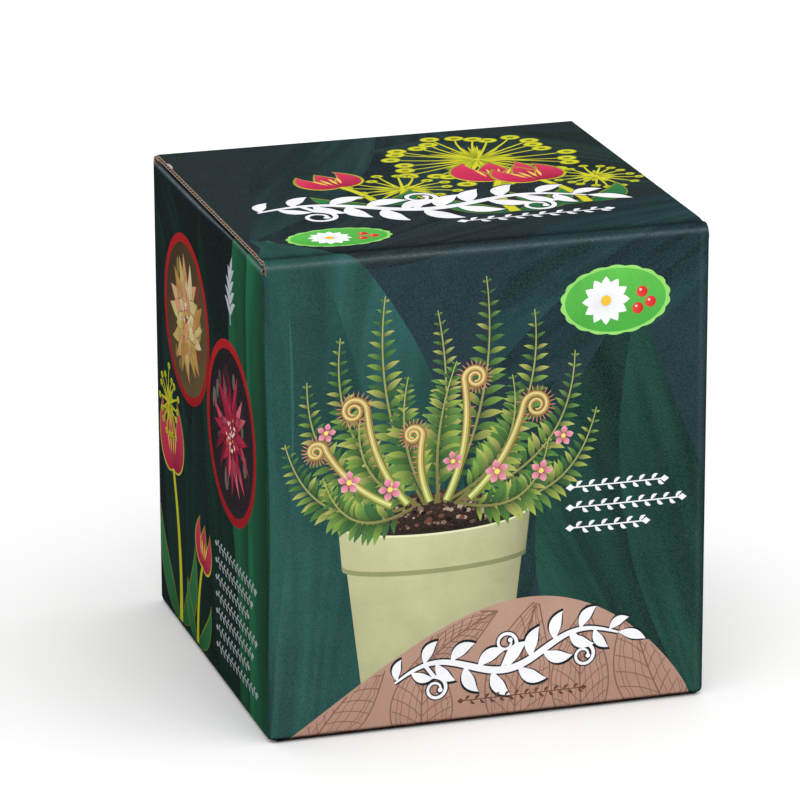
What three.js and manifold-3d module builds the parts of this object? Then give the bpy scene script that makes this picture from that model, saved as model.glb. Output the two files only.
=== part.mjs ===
// A tuck-top gift carton: one die-cut sheet of micro-flute corrugated board, creased into panels,
// glued along one upright edge and locked at the bottom. Millimetres, +Z up. The origin is the
// middle of the footprint at the surface that the carton stands on. The front faces -Y.
import * as THREE from 'three';
import { mergeVertices } from 'three/addons/utils/BufferGeometryUtils.js';
import Module from 'manifold-3d';

const wasm = await Module();
wasm.setup();

// Outside of the closed carton.
const WIDTH = 120;
const DEPTH = 115;
const HEIGHT = 130;

// The board, and what its creases leave.
const BOARD = 1.3;
const CREASE_GAP = 0.3;
const CREASE_STEPS = 8;
const SAME_POINT = 1e-4;

// Lid and tuck flap.
const LID_SIDE_INSET = 0.6;
const TUCK_PLAY = 1.1;
const TUCK_LENGTH = 18;
const TUCK_HALF_WIDTH = 56.4;
const TUCK_CORNER = 9;
const TUCK_TAPER = 1.5;

// Dust flaps: the front edge is cut away so that a flap can rise under the tilted lid.
const DUST_LENGTH = 47;
const DUST_FRONT_START = 2;
const DUST_FRONT_SLOPE = 0.55;
const DUST_REAR_INSET = 7;
const DUST_REAR_TAPER = 2;
const DUST_CORNER = 6;

// Glue tab: folded off the back wall and glued inside the right wall.
const TAB_WIDTH = 18;
const TAB_BOTTOM = 8;
const TAB_TOP = 122;
const TAB_TAPER = 4;
const TAB_RAW_EDGE_INSET = 0.2;

// Bottom: two long flaps that hook into each other, with a short flap glued on each side.
const BOTTOM_SIDE_PLAY = 0.4;
const SEAM_GAP = 0.4;
const HOOK_STEP = 12;
const HOOK_HALF_RUN = 12;
const BOTTOM_SHORT_LENGTH = 36;
const BOTTOM_SHORT_INSET = 3;
const BOTTOM_SHORT_TAPER = 14;

// Faces of the walls, and the creases that the flaps turn on.
const OUT_X = WIDTH / 2;
const OUT_Y = DEPTH / 2;
const IN_X = OUT_X - BOARD;
const IN_Y = OUT_Y - BOARD;
const HALF_BOARD = BOARD / 2;
const LID_UNDER = HEIGHT - BOARD;
const SIDE_TOP = LID_UNDER - CREASE_GAP;
const LID_CREASE_Y = -OUT_Y + HALF_BOARD;
const DUST_CREASE_X = OUT_X - HALF_BOARD;
const CREASE_REACH = HALF_BOARD + CREASE_GAP;
const TUCK_OUT_Y = IN_Y - TUCK_PLAY;

const PRINTED_GREEN = new THREE.Color(0x1f3b37);
const KRAFT = new THREE.Color(0xa88571);

function printedBoard() {
  return new THREE.MeshStandardMaterial({ color: PRINTED_GREEN, roughness: 0.55, metalness: 0 });
}

function kraftBoard() {
  return new THREE.MeshStandardMaterial({ color: KRAFT, roughness: 0.9, metalness: 0 });
}

function outline(points) {
  return new THREE.Shape(points.map(([a, b]) => new THREE.Vector2(a, b)));
}

// An outline drawn in the XY plane, made a plate from z = low to z = high. Where an arc starts on
// the end of the line before it, the doubled point is dropped.
function plateXY(shape, low, high) {
  const points = shape.getPoints(CREASE_STEPS);
  const single = points.filter((point, i) =>
    point.distanceTo(points[(i + 1) % points.length]) > SAME_POINT);
  const plate = new THREE.ExtrudeGeometry(new THREE.Shape(single), {
    depth: high - low, bevelEnabled: false,
  });
  return plate.translate(0, 0, low);
}

// A profile drawn as (y, z), carried along X from low to high.
function profileYZ(shape, low, high) {
  const bar = plateXY(shape, low, high);
  return bar.applyMatrix4(new THREE.Matrix4().makeBasis(
    new THREE.Vector3(0, 1, 0), new THREE.Vector3(0, 0, 1), new THREE.Vector3(1, 0, 0)));
}

// A profile drawn as (x, z), carried along Y from low to high.
function profileXZ(shape, low, high) {
  const bar = plateXY(shape, -high, -low);
  return bar.applyMatrix4(new THREE.Matrix4().makeBasis(
    new THREE.Vector3(1, 0, 0), new THREE.Vector3(0, 0, 1), new THREE.Vector3(0, -1, 0)));
}

function toSolid(geometry) {
  const bare = geometry.clone();
  bare.deleteAttribute('normal');
  bare.deleteAttribute('uv');
  const merged = mergeVertices(bare, SAME_POINT);
  return new wasm.Manifold(new wasm.Mesh({
    numProp: 3,
    vertProperties: new Float32Array(merged.attributes.position.array),
    triVerts: new Uint32Array(merged.index.array),
  }));
}

function toGeometry(solid) {
  const mesh = solid.getMesh();
  const geometry = new THREE.BufferGeometry();
  geometry.setAttribute('position', new THREE.BufferAttribute(mesh.vertProperties.slice(), 3));
  geometry.setIndex(new THREE.BufferAttribute(mesh.triVerts.slice(), 1));
  geometry.computeVertexNormals();
  return geometry;
}

function intersection(a, b) {
  return toGeometry(toSolid(a).intersect(toSolid(b)));
}

// The upright section of a wall, drawn as (across, z). outer is where its outer face stands and
// inward is the direction from there to the inner face, 1 or -1. The outer bottom edge is a
// rounded crease, and the top is a half-round crease, or cut square where roundTop is false.
function wallSection(outer, inward, top, roundTop) {
  const inner = outer + inward * BOARD;
  const middle = outer + inward * HALF_BOARD;
  const clockwise = inward < 0;
  const shape = new THREE.Shape();
  shape.moveTo(inner, 0);
  if (roundTop) {
    shape.lineTo(inner, top - HALF_BOARD);
    shape.absarc(middle, top - HALF_BOARD, HALF_BOARD,
      clockwise ? Math.PI : 0, clockwise ? 0 : Math.PI, clockwise);
  } else {
    shape.lineTo(inner, top);
    shape.lineTo(outer, top);
  }
  shape.lineTo(outer, BOARD);
  shape.absarc(inner, BOARD, BOARD,
    clockwise ? 0 : Math.PI, clockwise ? -Math.PI / 2 : 1.5 * Math.PI, clockwise);
  shape.closePath();
  return shape;
}

// The front wall: both outer upright edges are rounded creases, and its half-round top is the
// crease that carries the lid.
function frontWall() {
  const plan = new THREE.Shape();
  plan.moveTo(-OUT_X, -IN_Y);
  plan.absarc(-IN_X, -IN_Y, BOARD, Math.PI, 1.5 * Math.PI, false);
  plan.absarc(IN_X, -IN_Y, BOARD, 1.5 * Math.PI, 2 * Math.PI, false);
  plan.closePath();
  const section = wallSection(-OUT_Y, 1, HEIGHT, true);
  return intersection(plateXY(plan, 0, HEIGHT), profileYZ(section, -OUT_X, OUT_X));
}

// The back wall stops a board's thickness below the lid's top. Its left edge is a rounded crease
// and its right edge is the fold of the glue tab, inside the right wall.
function backWall() {
  const plan = new THREE.Shape();
  plan.moveTo(-OUT_X, IN_Y);
  plan.lineTo(IN_X, IN_Y);
  plan.absarc(IN_X - BOARD, IN_Y, BOARD, 0, Math.PI / 2, false);
  plan.absarc(-IN_X, IN_Y, BOARD, Math.PI / 2, Math.PI, false);
  plan.closePath();
  const section = wallSection(OUT_Y, -1, LID_UNDER, false);
  return intersection(plateXY(plan, 0, LID_UNDER), profileYZ(section, -OUT_X, IN_X));
}

// The side walls stand between the front and the back. The right one runs on past the back
// wall's fold to its raw edge.
function leftWall() {
  return profileXZ(wallSection(-OUT_X, 1, SIDE_TOP, true), -IN_Y, IN_Y);
}

function rightWall() {
  return profileXZ(wallSection(OUT_X, -1, SIDE_TOP, true), -IN_Y, OUT_Y - TAB_RAW_EDGE_INSET);
}

function glueTab() {
  const front = IN_Y - TAB_WIDTH;
  const side = outline([
    [IN_Y, TAB_BOTTOM],
    [IN_Y, TAB_TOP],
    [front, TAB_TOP - TAB_TAPER],
    [front, TAB_BOTTOM + TAB_TAPER],
  ]);
  return profileYZ(side, IN_X - BOARD, IN_X);
}

// The lid lies level, from just behind the front crease to over the tuck flap, where its top
// edge rolls down into the flap's crease.
function lid() {
  const start = LID_CREASE_Y + CREASE_REACH;
  const section = new THREE.Shape();
  section.moveTo(start, LID_UNDER);
  section.lineTo(TUCK_OUT_Y, LID_UNDER);
  section.absarc(TUCK_OUT_Y - BOARD, LID_UNDER, BOARD, 0, Math.PI / 2, false);
  section.lineTo(start, HEIGHT);
  section.closePath();
  return profileYZ(section, -OUT_X + LID_SIDE_INSET, OUT_X - LID_SIDE_INSET);
}

// A flap's outline with two rounded free corners, drawn as (across, along): it starts on its
// crease at along = 0 and reaches to along = length.
function flapOutline(left, right, leftTip, rightTip, length, corner) {
  const shape = new THREE.Shape();
  const leftLean = (leftTip - left) / length;
  const rightLean = (rightTip - right) / length;
  shape.moveTo(left, 0);
  shape.lineTo(leftTip - leftLean * corner, length - corner);
  shape.quadraticCurveTo(leftTip, length, leftTip + corner, length);
  shape.lineTo(rightTip - corner, length);
  shape.quadraticCurveTo(rightTip, length, rightTip - rightLean * corner, length - corner);
  shape.lineTo(right, 0);
  shape.closePath();
  return shape;
}

// The tuck flap hangs from the lid's rear edge, inside the back wall.
function tuckFlap() {
  const shape = flapOutline(-TUCK_HALF_WIDTH, TUCK_HALF_WIDTH,
    -TUCK_HALF_WIDTH + TUCK_TAPER, TUCK_HALF_WIDTH - TUCK_TAPER, TUCK_LENGTH, TUCK_CORNER);
  const flap = plateXY(shape, TUCK_OUT_Y - BOARD, TUCK_OUT_Y);
  flap.applyMatrix4(new THREE.Matrix4().makeBasis(
    new THREE.Vector3(1, 0, 0), new THREE.Vector3(0, 0, -1), new THREE.Vector3(0, 1, 0)));
  return flap.translate(0, 0, SIDE_TOP);
}

// A dust flap lies flat under the lid. side is -1 for the left flap and 1 for the right one.
function dustFlap(side) {
  const start = DUST_CREASE_X - CREASE_REACH;
  const frontStart = LID_CREASE_Y + DUST_FRONT_START + DUST_FRONT_SLOPE * CREASE_REACH;
  const rearStart = OUT_Y - DUST_REAR_INSET;
  const shape = flapOutline(frontStart, rearStart,
    frontStart + DUST_FRONT_SLOPE * DUST_LENGTH, rearStart - DUST_REAR_TAPER,
    DUST_LENGTH, DUST_CORNER);
  const flap = plateXY(shape, 0, BOARD);
  // The outline's "across" becomes Y and its "along" points from the crease to the middle.
  flap.applyMatrix4(new THREE.Matrix4().makeBasis(
    new THREE.Vector3(0, 1, 0), new THREE.Vector3(-side, 0, 0), new THREE.Vector3(0, 0, side)));
  return flap.translate(side * start, 0, side > 0 ? SIDE_TOP - BOARD : SIDE_TOP);
}

// The long bottom flaps lie level between the walls. Their free edges step across the middle,
// so that each half of one hooks beside the other. side is -1 for the front flap.
function longBottomFlap(side) {
  const halfWidth = IN_X - BOTTOM_SIDE_PLAY;
  const seam = [
    [-halfWidth, HOOK_STEP],
    [-HOOK_HALF_RUN, HOOK_STEP],
    [HOOK_HALF_RUN, -HOOK_STEP],
    [halfWidth, -HOOK_STEP],
  ];
  const freeEdge = seam.map(([x, y]) => [x, y + side * SEAM_GAP / 2]);
  const crease = side * IN_Y;
  return plateXY(outline([[-halfWidth, crease], ...freeEdge, [halfWidth, crease]]), 0, BOARD);
}

// The short bottom flaps are glued on top of the long ones.
function shortBottomFlap(side) {
  const halfStart = IN_Y - BOTTOM_SHORT_INSET;
  const halfTip = halfStart - BOTTOM_SHORT_TAPER;
  const tip = IN_X - BOTTOM_SHORT_LENGTH;
  const shape = outline([
    [side * IN_X, -halfStart],
    [side * IN_X, halfStart],
    [side * tip, halfTip],
    [side * tip, -halfTip],
  ]);
  return plateXY(shape, BOARD, 2 * BOARD);
}

function panel(name, geometry, material) {
  const mesh = new THREE.Mesh(geometry, material);
  mesh.name = name;
  return mesh;
}

const carton = new THREE.Group();
carton.add(
  panel('front_wall', frontWall(), printedBoard()),
  panel('back_wall', backWall(), printedBoard()),
  panel('left_wall', leftWall(), printedBoard()),
  panel('right_wall', rightWall(), printedBoard()),
  panel('glue_tab', glueTab(), kraftBoard()),
  panel('lid', lid(), printedBoard()),
  panel('tuck_flap', tuckFlap(), printedBoard()),
  panel('dust_flap_left', dustFlap(-1), printedBoard()),
  panel('dust_flap_right', dustFlap(1), printedBoard()),
  panel('bottom_flap_front', longBottomFlap(-1), printedBoard()),
  panel('bottom_flap_back', longBottomFlap(1), printedBoard()),
  panel('bottom_flap_left', shortBottomFlap(-1), kraftBoard()),
  panel('bottom_flap_right', shortBottomFlap(1), kraftBoard()),
);

export default carton;
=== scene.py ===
import math

import bpy
import numpy as np
from mathutils import Matrix, Vector
from mathutils.geometry import delaunay_2d_cdt


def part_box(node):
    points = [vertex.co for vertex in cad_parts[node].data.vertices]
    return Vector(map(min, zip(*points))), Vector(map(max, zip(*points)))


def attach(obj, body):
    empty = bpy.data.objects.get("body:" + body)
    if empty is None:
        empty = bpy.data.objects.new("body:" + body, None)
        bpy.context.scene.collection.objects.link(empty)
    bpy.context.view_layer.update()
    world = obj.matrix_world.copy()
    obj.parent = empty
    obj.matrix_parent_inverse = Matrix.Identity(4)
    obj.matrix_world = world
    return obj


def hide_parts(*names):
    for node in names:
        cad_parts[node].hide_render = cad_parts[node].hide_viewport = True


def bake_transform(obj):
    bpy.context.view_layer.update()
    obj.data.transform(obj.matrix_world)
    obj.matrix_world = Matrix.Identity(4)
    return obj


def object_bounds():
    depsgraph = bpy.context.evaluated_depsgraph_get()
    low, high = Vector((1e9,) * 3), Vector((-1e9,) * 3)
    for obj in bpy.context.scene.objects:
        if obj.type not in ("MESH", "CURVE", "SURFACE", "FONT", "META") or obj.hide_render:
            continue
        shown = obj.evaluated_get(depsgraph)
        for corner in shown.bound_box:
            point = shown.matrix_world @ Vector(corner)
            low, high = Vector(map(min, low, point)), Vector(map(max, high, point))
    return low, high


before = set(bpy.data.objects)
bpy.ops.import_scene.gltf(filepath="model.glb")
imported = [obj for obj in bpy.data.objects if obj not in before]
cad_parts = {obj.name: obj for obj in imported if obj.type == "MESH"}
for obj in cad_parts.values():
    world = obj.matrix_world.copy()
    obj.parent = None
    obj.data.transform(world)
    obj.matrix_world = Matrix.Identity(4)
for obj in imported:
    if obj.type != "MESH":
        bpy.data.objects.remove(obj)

cad_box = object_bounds()


# ---------------------------------------------------------------------------------------------
# Camera. A long lens looks down on the carton from the left of its front, so that the front, the
# left side and the lid show.
VIEW_AZIMUTH = math.radians(-16.85)
VIEW_ELEVATION = math.radians(17.92)
VIEW_ROLL = math.radians(-0.21)
VIEW_DISTANCE = 1.3421
VIEW_SHIFT_RIGHT = -0.006578
VIEW_SHIFT_UP = 0.005201
LENS_MM = 224.07
SENSOR_MM = 36.0

back = Vector((math.sin(VIEW_AZIMUTH) * math.cos(VIEW_ELEVATION),
               -math.cos(VIEW_AZIMUTH) * math.cos(VIEW_ELEVATION),
               math.sin(VIEW_ELEVATION)))
right = Vector((math.cos(VIEW_AZIMUTH), math.sin(VIEW_AZIMUTH), 0.0))
up = back.cross(right)
lens_data = bpy.data.cameras.new("camera")
lens_data.lens = LENS_MM
lens_data.sensor_width = SENSOR_MM
lens_data.clip_end = 20.0
camera = bpy.data.objects.new("camera", lens_data)
bpy.context.scene.collection.objects.link(camera)
turned_right = right * math.cos(VIEW_ROLL) + up * math.sin(VIEW_ROLL)
turned_up = up * math.cos(VIEW_ROLL) - right * math.sin(VIEW_ROLL)
middle = (cad_box[0] + cad_box[1]) / 2
camera.matrix_world = Matrix((turned_right, turned_up, back)).transposed().to_4x4()
camera.location = middle + back * VIEW_DISTANCE + right * VIEW_SHIFT_RIGHT + up * VIEW_SHIFT_UP
bpy.context.scene.camera = camera


# ---------------------------------------------------------------------------------------------
# The blank. The carton is one sheet of micro-flute corrugated board, scored and folded. Places on
# the flat sheet are (u, v) in millimetres, seen on the printed side: u runs round the four walls
# from the front's left crease, and v runs up from the bottom crease.
def box_mm(node):
    """The CAD node's box at rest, as its low and high corners in millimetres."""
    low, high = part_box(node)
    return np.array(low) * 1000, np.array(high) * 1000


front_low, front_high = box_mm("front_wall")
_, back_high = box_mm("back_wall")
_, right_high = box_mm("right_wall")
lid_low, lid_high = box_mm("lid")
tuck_low, tuck_high = box_mm("tuck_flap")
dust_low, dust_high = box_mm("dust_flap_left")
BOARD = lid_high[2] - lid_low[2]
WIDTH = front_high[0] - front_low[0]
DEPTH = back_high[1] - front_low[1]
HEIGHT = lid_high[2]
BACK_WIDTH = WIDTH - BOARD
BACK_HEIGHT = back_high[2]
SIDE_HEIGHT = dust_high[2]
LID_LENGTH = lid_high[1] - front_low[1]
TUCK_LENGTH = HEIGHT - tuck_low[2]
LID_INSET = lid_low[0] - front_low[0]
RAW_EDGE = right_high[1] - front_low[1]

# Outer radii of the folds: the upright corners, the creases of the lid, the tuck flap and the dust
# flaps, the front's and back's foot, and the tight folds at the sides' foot and the glue tab.
CORNER_R = 2.2
LID_R = 2.9
TUCK_R = 2.4
DUST_R = 2.1
FOOT_R = 1.8
FOLD_R = 1.45


def bent(s, depth, start, heading, normal, corners):
    """Place on a path of straight runs joined by quarter turns, and its outward normal.
    s is the way along the path, with each turn's sharp corner at corners[i][0]. Within its radius
    of a corner the place is on an arc about a centre one radius back and one radius in, at 45
    degrees for every radius of way; elsewhere it is on the run. depth is how far it lies inside."""
    s, depth = np.broadcast_arrays(np.asarray(s, float), np.asarray(depth, float))
    point, h, n = np.array(start, float), np.array(heading, float), np.array(normal, float)
    place = point + np.multiply.outer(s, h) - np.multiply.outer(depth, n)
    out = np.broadcast_to(n, place.shape).copy()
    travelled = 0.0
    for at, radius in corners:
        point = point + h * (at - travelled)
        travelled = at
        centre = point - radius * h - radius * n
        angle = (np.clip((s - at) / radius, -1, 1) + 1) * math.pi / 4
        ray = np.multiply.outer(np.cos(angle), n) + np.multiply.outer(np.sin(angle), h)
        arc = centre + (radius - depth)[..., None] * ray
        h, n = -n, h
        run = point + np.multiply.outer(s - at, h) - np.multiply.outer(depth, n)
        on_arc = np.abs(s - at) < radius
        past = s >= at + radius
        place = np.where(on_arc[..., None], arc, np.where(past[..., None], run, place))
        out = np.where(on_arc[..., None], ray, np.where(past[..., None], n, out))
    return place, out


TAB_FOLD_U = -DEPTH - BACK_WIDTH
TAB_START_U = TAB_FOLD_U - DEPTH / 2
PLAN_CORNERS = [(TAB_FOLD_U, FOLD_R), (-DEPTH, CORNER_R), (0, CORNER_R), (WIDTH, CORNER_R)]


def plan(u, depth):
    """Place seen from above, at way u round the walls: the folded path of tab, back, left, front
    and right wall."""
    corners = [(at - TAB_START_U, radius) for at, radius in PLAN_CORNERS]
    start = (right_high[0] - BOARD, back_high[1] - DEPTH / 2)
    place, _ = bent(np.asarray(u) - TAB_START_U, depth, start, (0, 1), (1, 0), corners)
    return place


# Each wall's flat frame: first corner, direction of travel, inward direction, u where it starts,
# its width, and the height and outer radius of each fold across it. A lift raises its flap.
WALLS = {
    "front": dict(corner=(-WIDTH / 2, -DEPTH / 2), travel=(1, 0), inward=(0, 1), u0=0, width=WIDTH,
                  rise=[(0, FOOT_R), (HEIGHT, LID_R), (HEIGHT + LID_LENGTH, TUCK_R)]),
    "right": dict(corner=(WIDTH / 2, -DEPTH / 2), travel=(0, 1), inward=(-1, 0), u0=WIDTH,
                  width=DEPTH, rise=[(0, FOLD_R), (SIDE_HEIGHT, DUST_R)]),
    "left": dict(corner=(-WIDTH / 2, DEPTH / 2), travel=(0, -1), inward=(1, 0), u0=-DEPTH,
                 width=DEPTH, rise=[(0, FOLD_R), (SIDE_HEIGHT, DUST_R)]),
    "back": dict(corner=(WIDTH / 2 - BOARD, DEPTH / 2), travel=(-1, 0), inward=(0, -1),
                 u0=TAB_FOLD_U, width=BACK_WIDTH, rise=[(0, FOOT_R)]),
    "tab": dict(corner=(WIDTH / 2 - BOARD, 0), travel=(0, 1), inward=(-1, 0), u0=TAB_START_U,
                width=DEPTH / 2, rise=[]),
}
for side in ("left", "right"):
    WALLS["short_flap_" + side] = dict(WALLS[side], lift=BOARD)
# Where the path up a wall starts: farther below the bottom crease than any flap reaches.
RISE_START = 80.0


def smooth(x, low, high):
    """0 up to low, 1 from high, and a smooth cubic step between."""
    t = np.clip((x - low) / (high - low), 0, 1)
    return t * t * (3 - 2 * t)


def bell(x, peak, reach):
    """1 at the peak, and exp(-(distance / reach) ^ 2) away from it."""
    return np.exp(-((x - peak) / reach) ** 2)


# How far the board leaves its flat panels, in millimetres: a hollow and slow waves on each panel, a
# hollow over the lid, a groove behind the lid's crease, a lip and a dip below that crease, and a sag
# of the side walls' top edges. Each "_AT" is the distance from the crease, or from the front corner.
PANEL_HOLLOW = 0.15
PANEL_WAVE = 0.07
LID_HOLLOW = 0.22
GROOVE, GROOVE_AT, GROOVE_REACH = 0.32, 5.2, 1.7
LIP, LIP_AT, LIP_REACH = 0.14, -4.85, 1.2
FRONT_DIP = 0.21
SIDE_SAG, SIDE_SAG_AT, SIDE_SAG_REACH = 0.95, 36, 20


def swell(u, v, wall):
    """How far a panel's middle is drawn in, in millimetres, as a number of 0 or less: a hollow that
    dies away at the creases, and two slow waves that together are shallower than the hollow."""
    w = WALLS[wall]
    p = np.clip((u - w["u0"]) / w["width"], 0, 1)
    q = np.clip(v / HEIGHT, 0, 1)
    middle_part = (4 * p * (1 - p)) ** 1.5 * (4 * q * (1 - q)) ** 1.5
    waves = np.sin(p * 7 + q * 4 + w["u0"]) + np.sin(p * 3 - q * 9 + 2 * w["u0"])
    return middle_part * (PANEL_WAVE * waves - PANEL_HOLLOW)


def place(wall, u, v, depth):
    """The folded place of (u, v) at a depth in the board, in metres. Along v the board follows its
    bent path up the wall and over its flaps; along u it follows the rounded path round the walls,
    at the depth that the first path has reached. Near the lid and below the bottom crease it leaves
    the rounded path for the wall's own flat frame, as the flaps aren't joined at the corners."""
    w = WALLS[wall]
    u, v, depth = np.broadcast_arrays(*(np.asarray(a, float) for a in (u, v, depth)))
    if w["rise"]:
        corners = [(at + RISE_START, radius) for at, radius in w["rise"]]
        path, out = bent(v + RISE_START, depth, (RISE_START, 0), (-1, 0), (0, -1), corners)
    else:
        path, out = np.stack([depth, v], -1), np.broadcast_to((-1.0, 0.0), v.shape + (2,))
    stand = swell(u, v, wall) * smooth(v, 0, 6) * (1 - smooth(v, HEIGHT - 6, HEIGHT))
    if wall == "front":
        on_lid = v - HEIGHT
        p = np.clip(u / WIDTH, 0, 1)
        q = np.clip(on_lid / LID_LENGTH, 0, 1)
        stand = stand - GROOVE * bell(on_lid, GROOVE_AT, GROOVE_REACH)
        below_crease = LIP * bell(on_lid, LIP_AT, LIP_REACH)
        below_crease = below_crease - (FRONT_DIP * smooth(on_lid, -34, -12)
                                       * (1 - smooth(on_lid, -7.15, -0.85)))
        stand = stand + below_crease * smooth(np.minimum(u, WIDTH - u), 0, CORNER_R)
        stand = stand - LID_HOLLOW * (4 * p * (1 - p)) * (4 * q * (1 - q)) ** 1.5
    if wall in ("left", "right"):
        from_front = np.abs(u - w["u0"] - w["width"] * (wall == "left"))
        near_top = smooth(v, SIDE_HEIGHT - 14, SIDE_HEIGHT - 2)
        stand = stand - SIDE_SAG * bell(from_front, SIDE_SAG_AT, SIDE_SAG_REACH) * near_top
    path = path + stand[..., None] * out
    inward, high = path[..., 0], path[..., 1]
    travel, into = np.array(w["travel"], float), np.array(w["inward"], float)
    flat = np.array(w["corner"], float) + np.multiply.outer(u - w["u0"], travel)
    flat = flat + np.multiply.outer(inward, into)
    round_path = plan(u, inward)
    beside = np.minimum(u - w["u0"], w["u0"] + w["width"] - u)
    freed = smooth(v, HEIGHT - 6, HEIGHT - 3) * smooth(beside, 0, LID_INSET)
    freed = np.maximum(freed, smooth(-v, 0.2, 2.0))
    ground = round_path + freed[..., None] * (flat - round_path)
    high = high + w.get("lift", 0.0)
    return np.concatenate([ground, high[..., None]], -1) / 1000


# ---------------------------------------------------------------------------------------------
# Print colours. The litho sheet has a dark leaf backdrop, a kraft-brown ground, pale lime, lime
# yellow, crimson, red and white inks. Each is an sRGB value, turned to linear light by one function.
def linear(hexed):
    """sRGB hex to linear light: x / 12.92 below 0.04045, otherwise ((x + 0.055) / 1.055) ^ 2.4."""
    value = int(hexed.lstrip("#"), 16)
    x = np.array([(value >> 16) & 255, (value >> 8) & 255, value & 255]) / 255
    return np.where(x <= 0.04045, x / 12.92, ((x + 0.055) / 1.055) ** 2.4)


SLATE = "#1f3339"
WHITE_INK = "#e9e9ee"
DARK_LINE = "#14201f"
LIME = "#c8c62a"
LIME_SHADE = "#7d8420"
CRIMSON = "#b01c46"
RING_RED = "#b4191f"
LEAF_GREEN = "#2f7a45"
BADGE_GREEN = "#5bb54b"
inks = []


def lay(points, colour, tip=None, axis=None, fan=None, paint=None):
    """Adds a printed shape on top of those before it. Its colour runs from colour to tip along the
    axis. fan is (root, strength) of fine veins that spread from the root; paint recolours places."""
    points = np.asarray(points, float)
    if axis is None:
        axis = (points[0], points[len(points) // 2])
    inks.append((points, linear(colour), linear(tip or colour), np.array(axis, float), fan, paint))


def upright(low, high):
    """A colour axis that runs straight from one height to another."""
    return ((0, low), (0, high))


FAN_RADIUS = 60.0


def inked(ink, at):
    """A shape's colour and vein marks at places on the sheet. The colour is a straight mix along
    the axis. The vein marks are the angle about the fan's root, times a radius, and the distance
    from the root."""
    points, first, last, (a, b), fan, paint = ink
    along = b - a
    t = np.clip((at - a) @ along / max(along @ along, 1e-9), 0, 1)[..., None]
    colour = first + (last - first) * t
    if paint:
        colour = paint(at, colour)
    marks = np.zeros(at.shape[:-1] + (3,))
    if fan:
        ray = at - np.array(fan[0], float)
        marks[..., 0] = np.arctan2(ray[..., 1], ray[..., 0]) * FAN_RADIUS
        marks[..., 1] = np.linalg.norm(ray, axis=-1)
        marks[..., 2] = fan[1]
    return colour, marks


def curve(start, end, bend, n):
    """A bow from start to end: the straight line plus bend times its length, aside, as 4t(1 - t)."""
    start, end = np.array(start, float), np.array(end, float)
    t = np.linspace(0, 1, n)[:, None]
    along = end - start
    aside = np.array([-along[1], along[0]])
    return start + along * t + aside * bend * 4 * t * (1 - t)


def headings(path, least=0.0):
    """The unit direction at each point of a path, and the unit vector a quarter turn to its left.
    least keeps a point that stands still from a division by 0."""
    slope = np.gradient(path, axis=0)
    slope = slope / (np.linalg.norm(slope, axis=1)[:, None] + least)
    return slope, np.stack([-slope[:, 1], slope[:, 0]], -1)


def unit(angle):
    """The unit vector at an angle, anticlockwise from the right."""
    return np.array([math.cos(angle), math.sin(angle)])


def stroke(path, widths):
    """The outline of a pen line: the path moved half the width to each side of its direction."""
    path = np.asarray(path, float)
    _, aside = headings(path, 1e-9)
    half = np.broadcast_to(np.asarray(widths, float), (len(path),))[:, None] / 2
    return np.concatenate([path + aside * half, (path - aside * half)[::-1]])


def lay_line(path, widths, colour, tip=None):
    """A pen line that may cross itself, laid as one four-cornered shape for each step of the path."""
    outline = stroke(path, widths)
    n = len(path)
    for i in range(n - 1):
        lay(outline[[i, i + 1, 2 * n - 2 - i, 2 * n - 1 - i]], colour, tip, (path[0], path[-1]))


def blade(base, tip, width, bend=0.0, n=7, belly=0.85):
    """A leaf's or petal's outline: a bow as wide as width times sin(pi t ^ belly)."""
    path = curve(base, tip, bend, n)
    t = np.linspace(0, 1, n)
    return stroke(path, np.maximum(width * np.sin(math.pi * t ** belly), 0.02))


def ellipse(centre, rx, ry, n=40):
    """The outline of an ellipse, as n even steps of angle anticlockwise from its right."""
    t = np.linspace(0, 2 * math.pi, n, endpoint=False)
    return np.stack([centre[0] + rx * np.cos(t), centre[1] + ry * np.sin(t)], -1)


# The leaf backdrop: broad dark leaves whose fine veins fan from the stalk. They run on round the
# creases, as one picture over the whole sheet.
VEIN_STRENGTH = 0.8
ROOT_BACK = 0.35


def backdrop_leaf(base, tip, width, bend, dark, light):
    """A leaf in two halves about a bowed rib, as wide as width times sin(pi t ^ 0.8) ^ 0.85. One half
    runs from light at the edge to dark at the rib, and the other from dark to light."""
    base, tip = np.array(base, float), np.array(tip, float)
    path = curve(base, tip, bend, 25)
    t = np.linspace(0, 1, 25)
    half = width / 2 * np.sin(math.pi * t ** 0.8) ** 0.85
    _, aside = headings(path)
    fan = (base - (tip - base) * ROOT_BACK, VEIN_STRENGTH)
    for side, (edge_ink, rib_ink) in ((1, (light, dark)), (-1, (dark, light))):
        edge = path + side * aside * half[:, None]
        lay(np.concatenate([path, edge[::-1]]), edge_ink, rib_ink, (edge[12], path[12]), fan)
    lay(stroke(path, 0.9 * (1 - t) + 0.2), light, dark, (base, tip))


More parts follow.
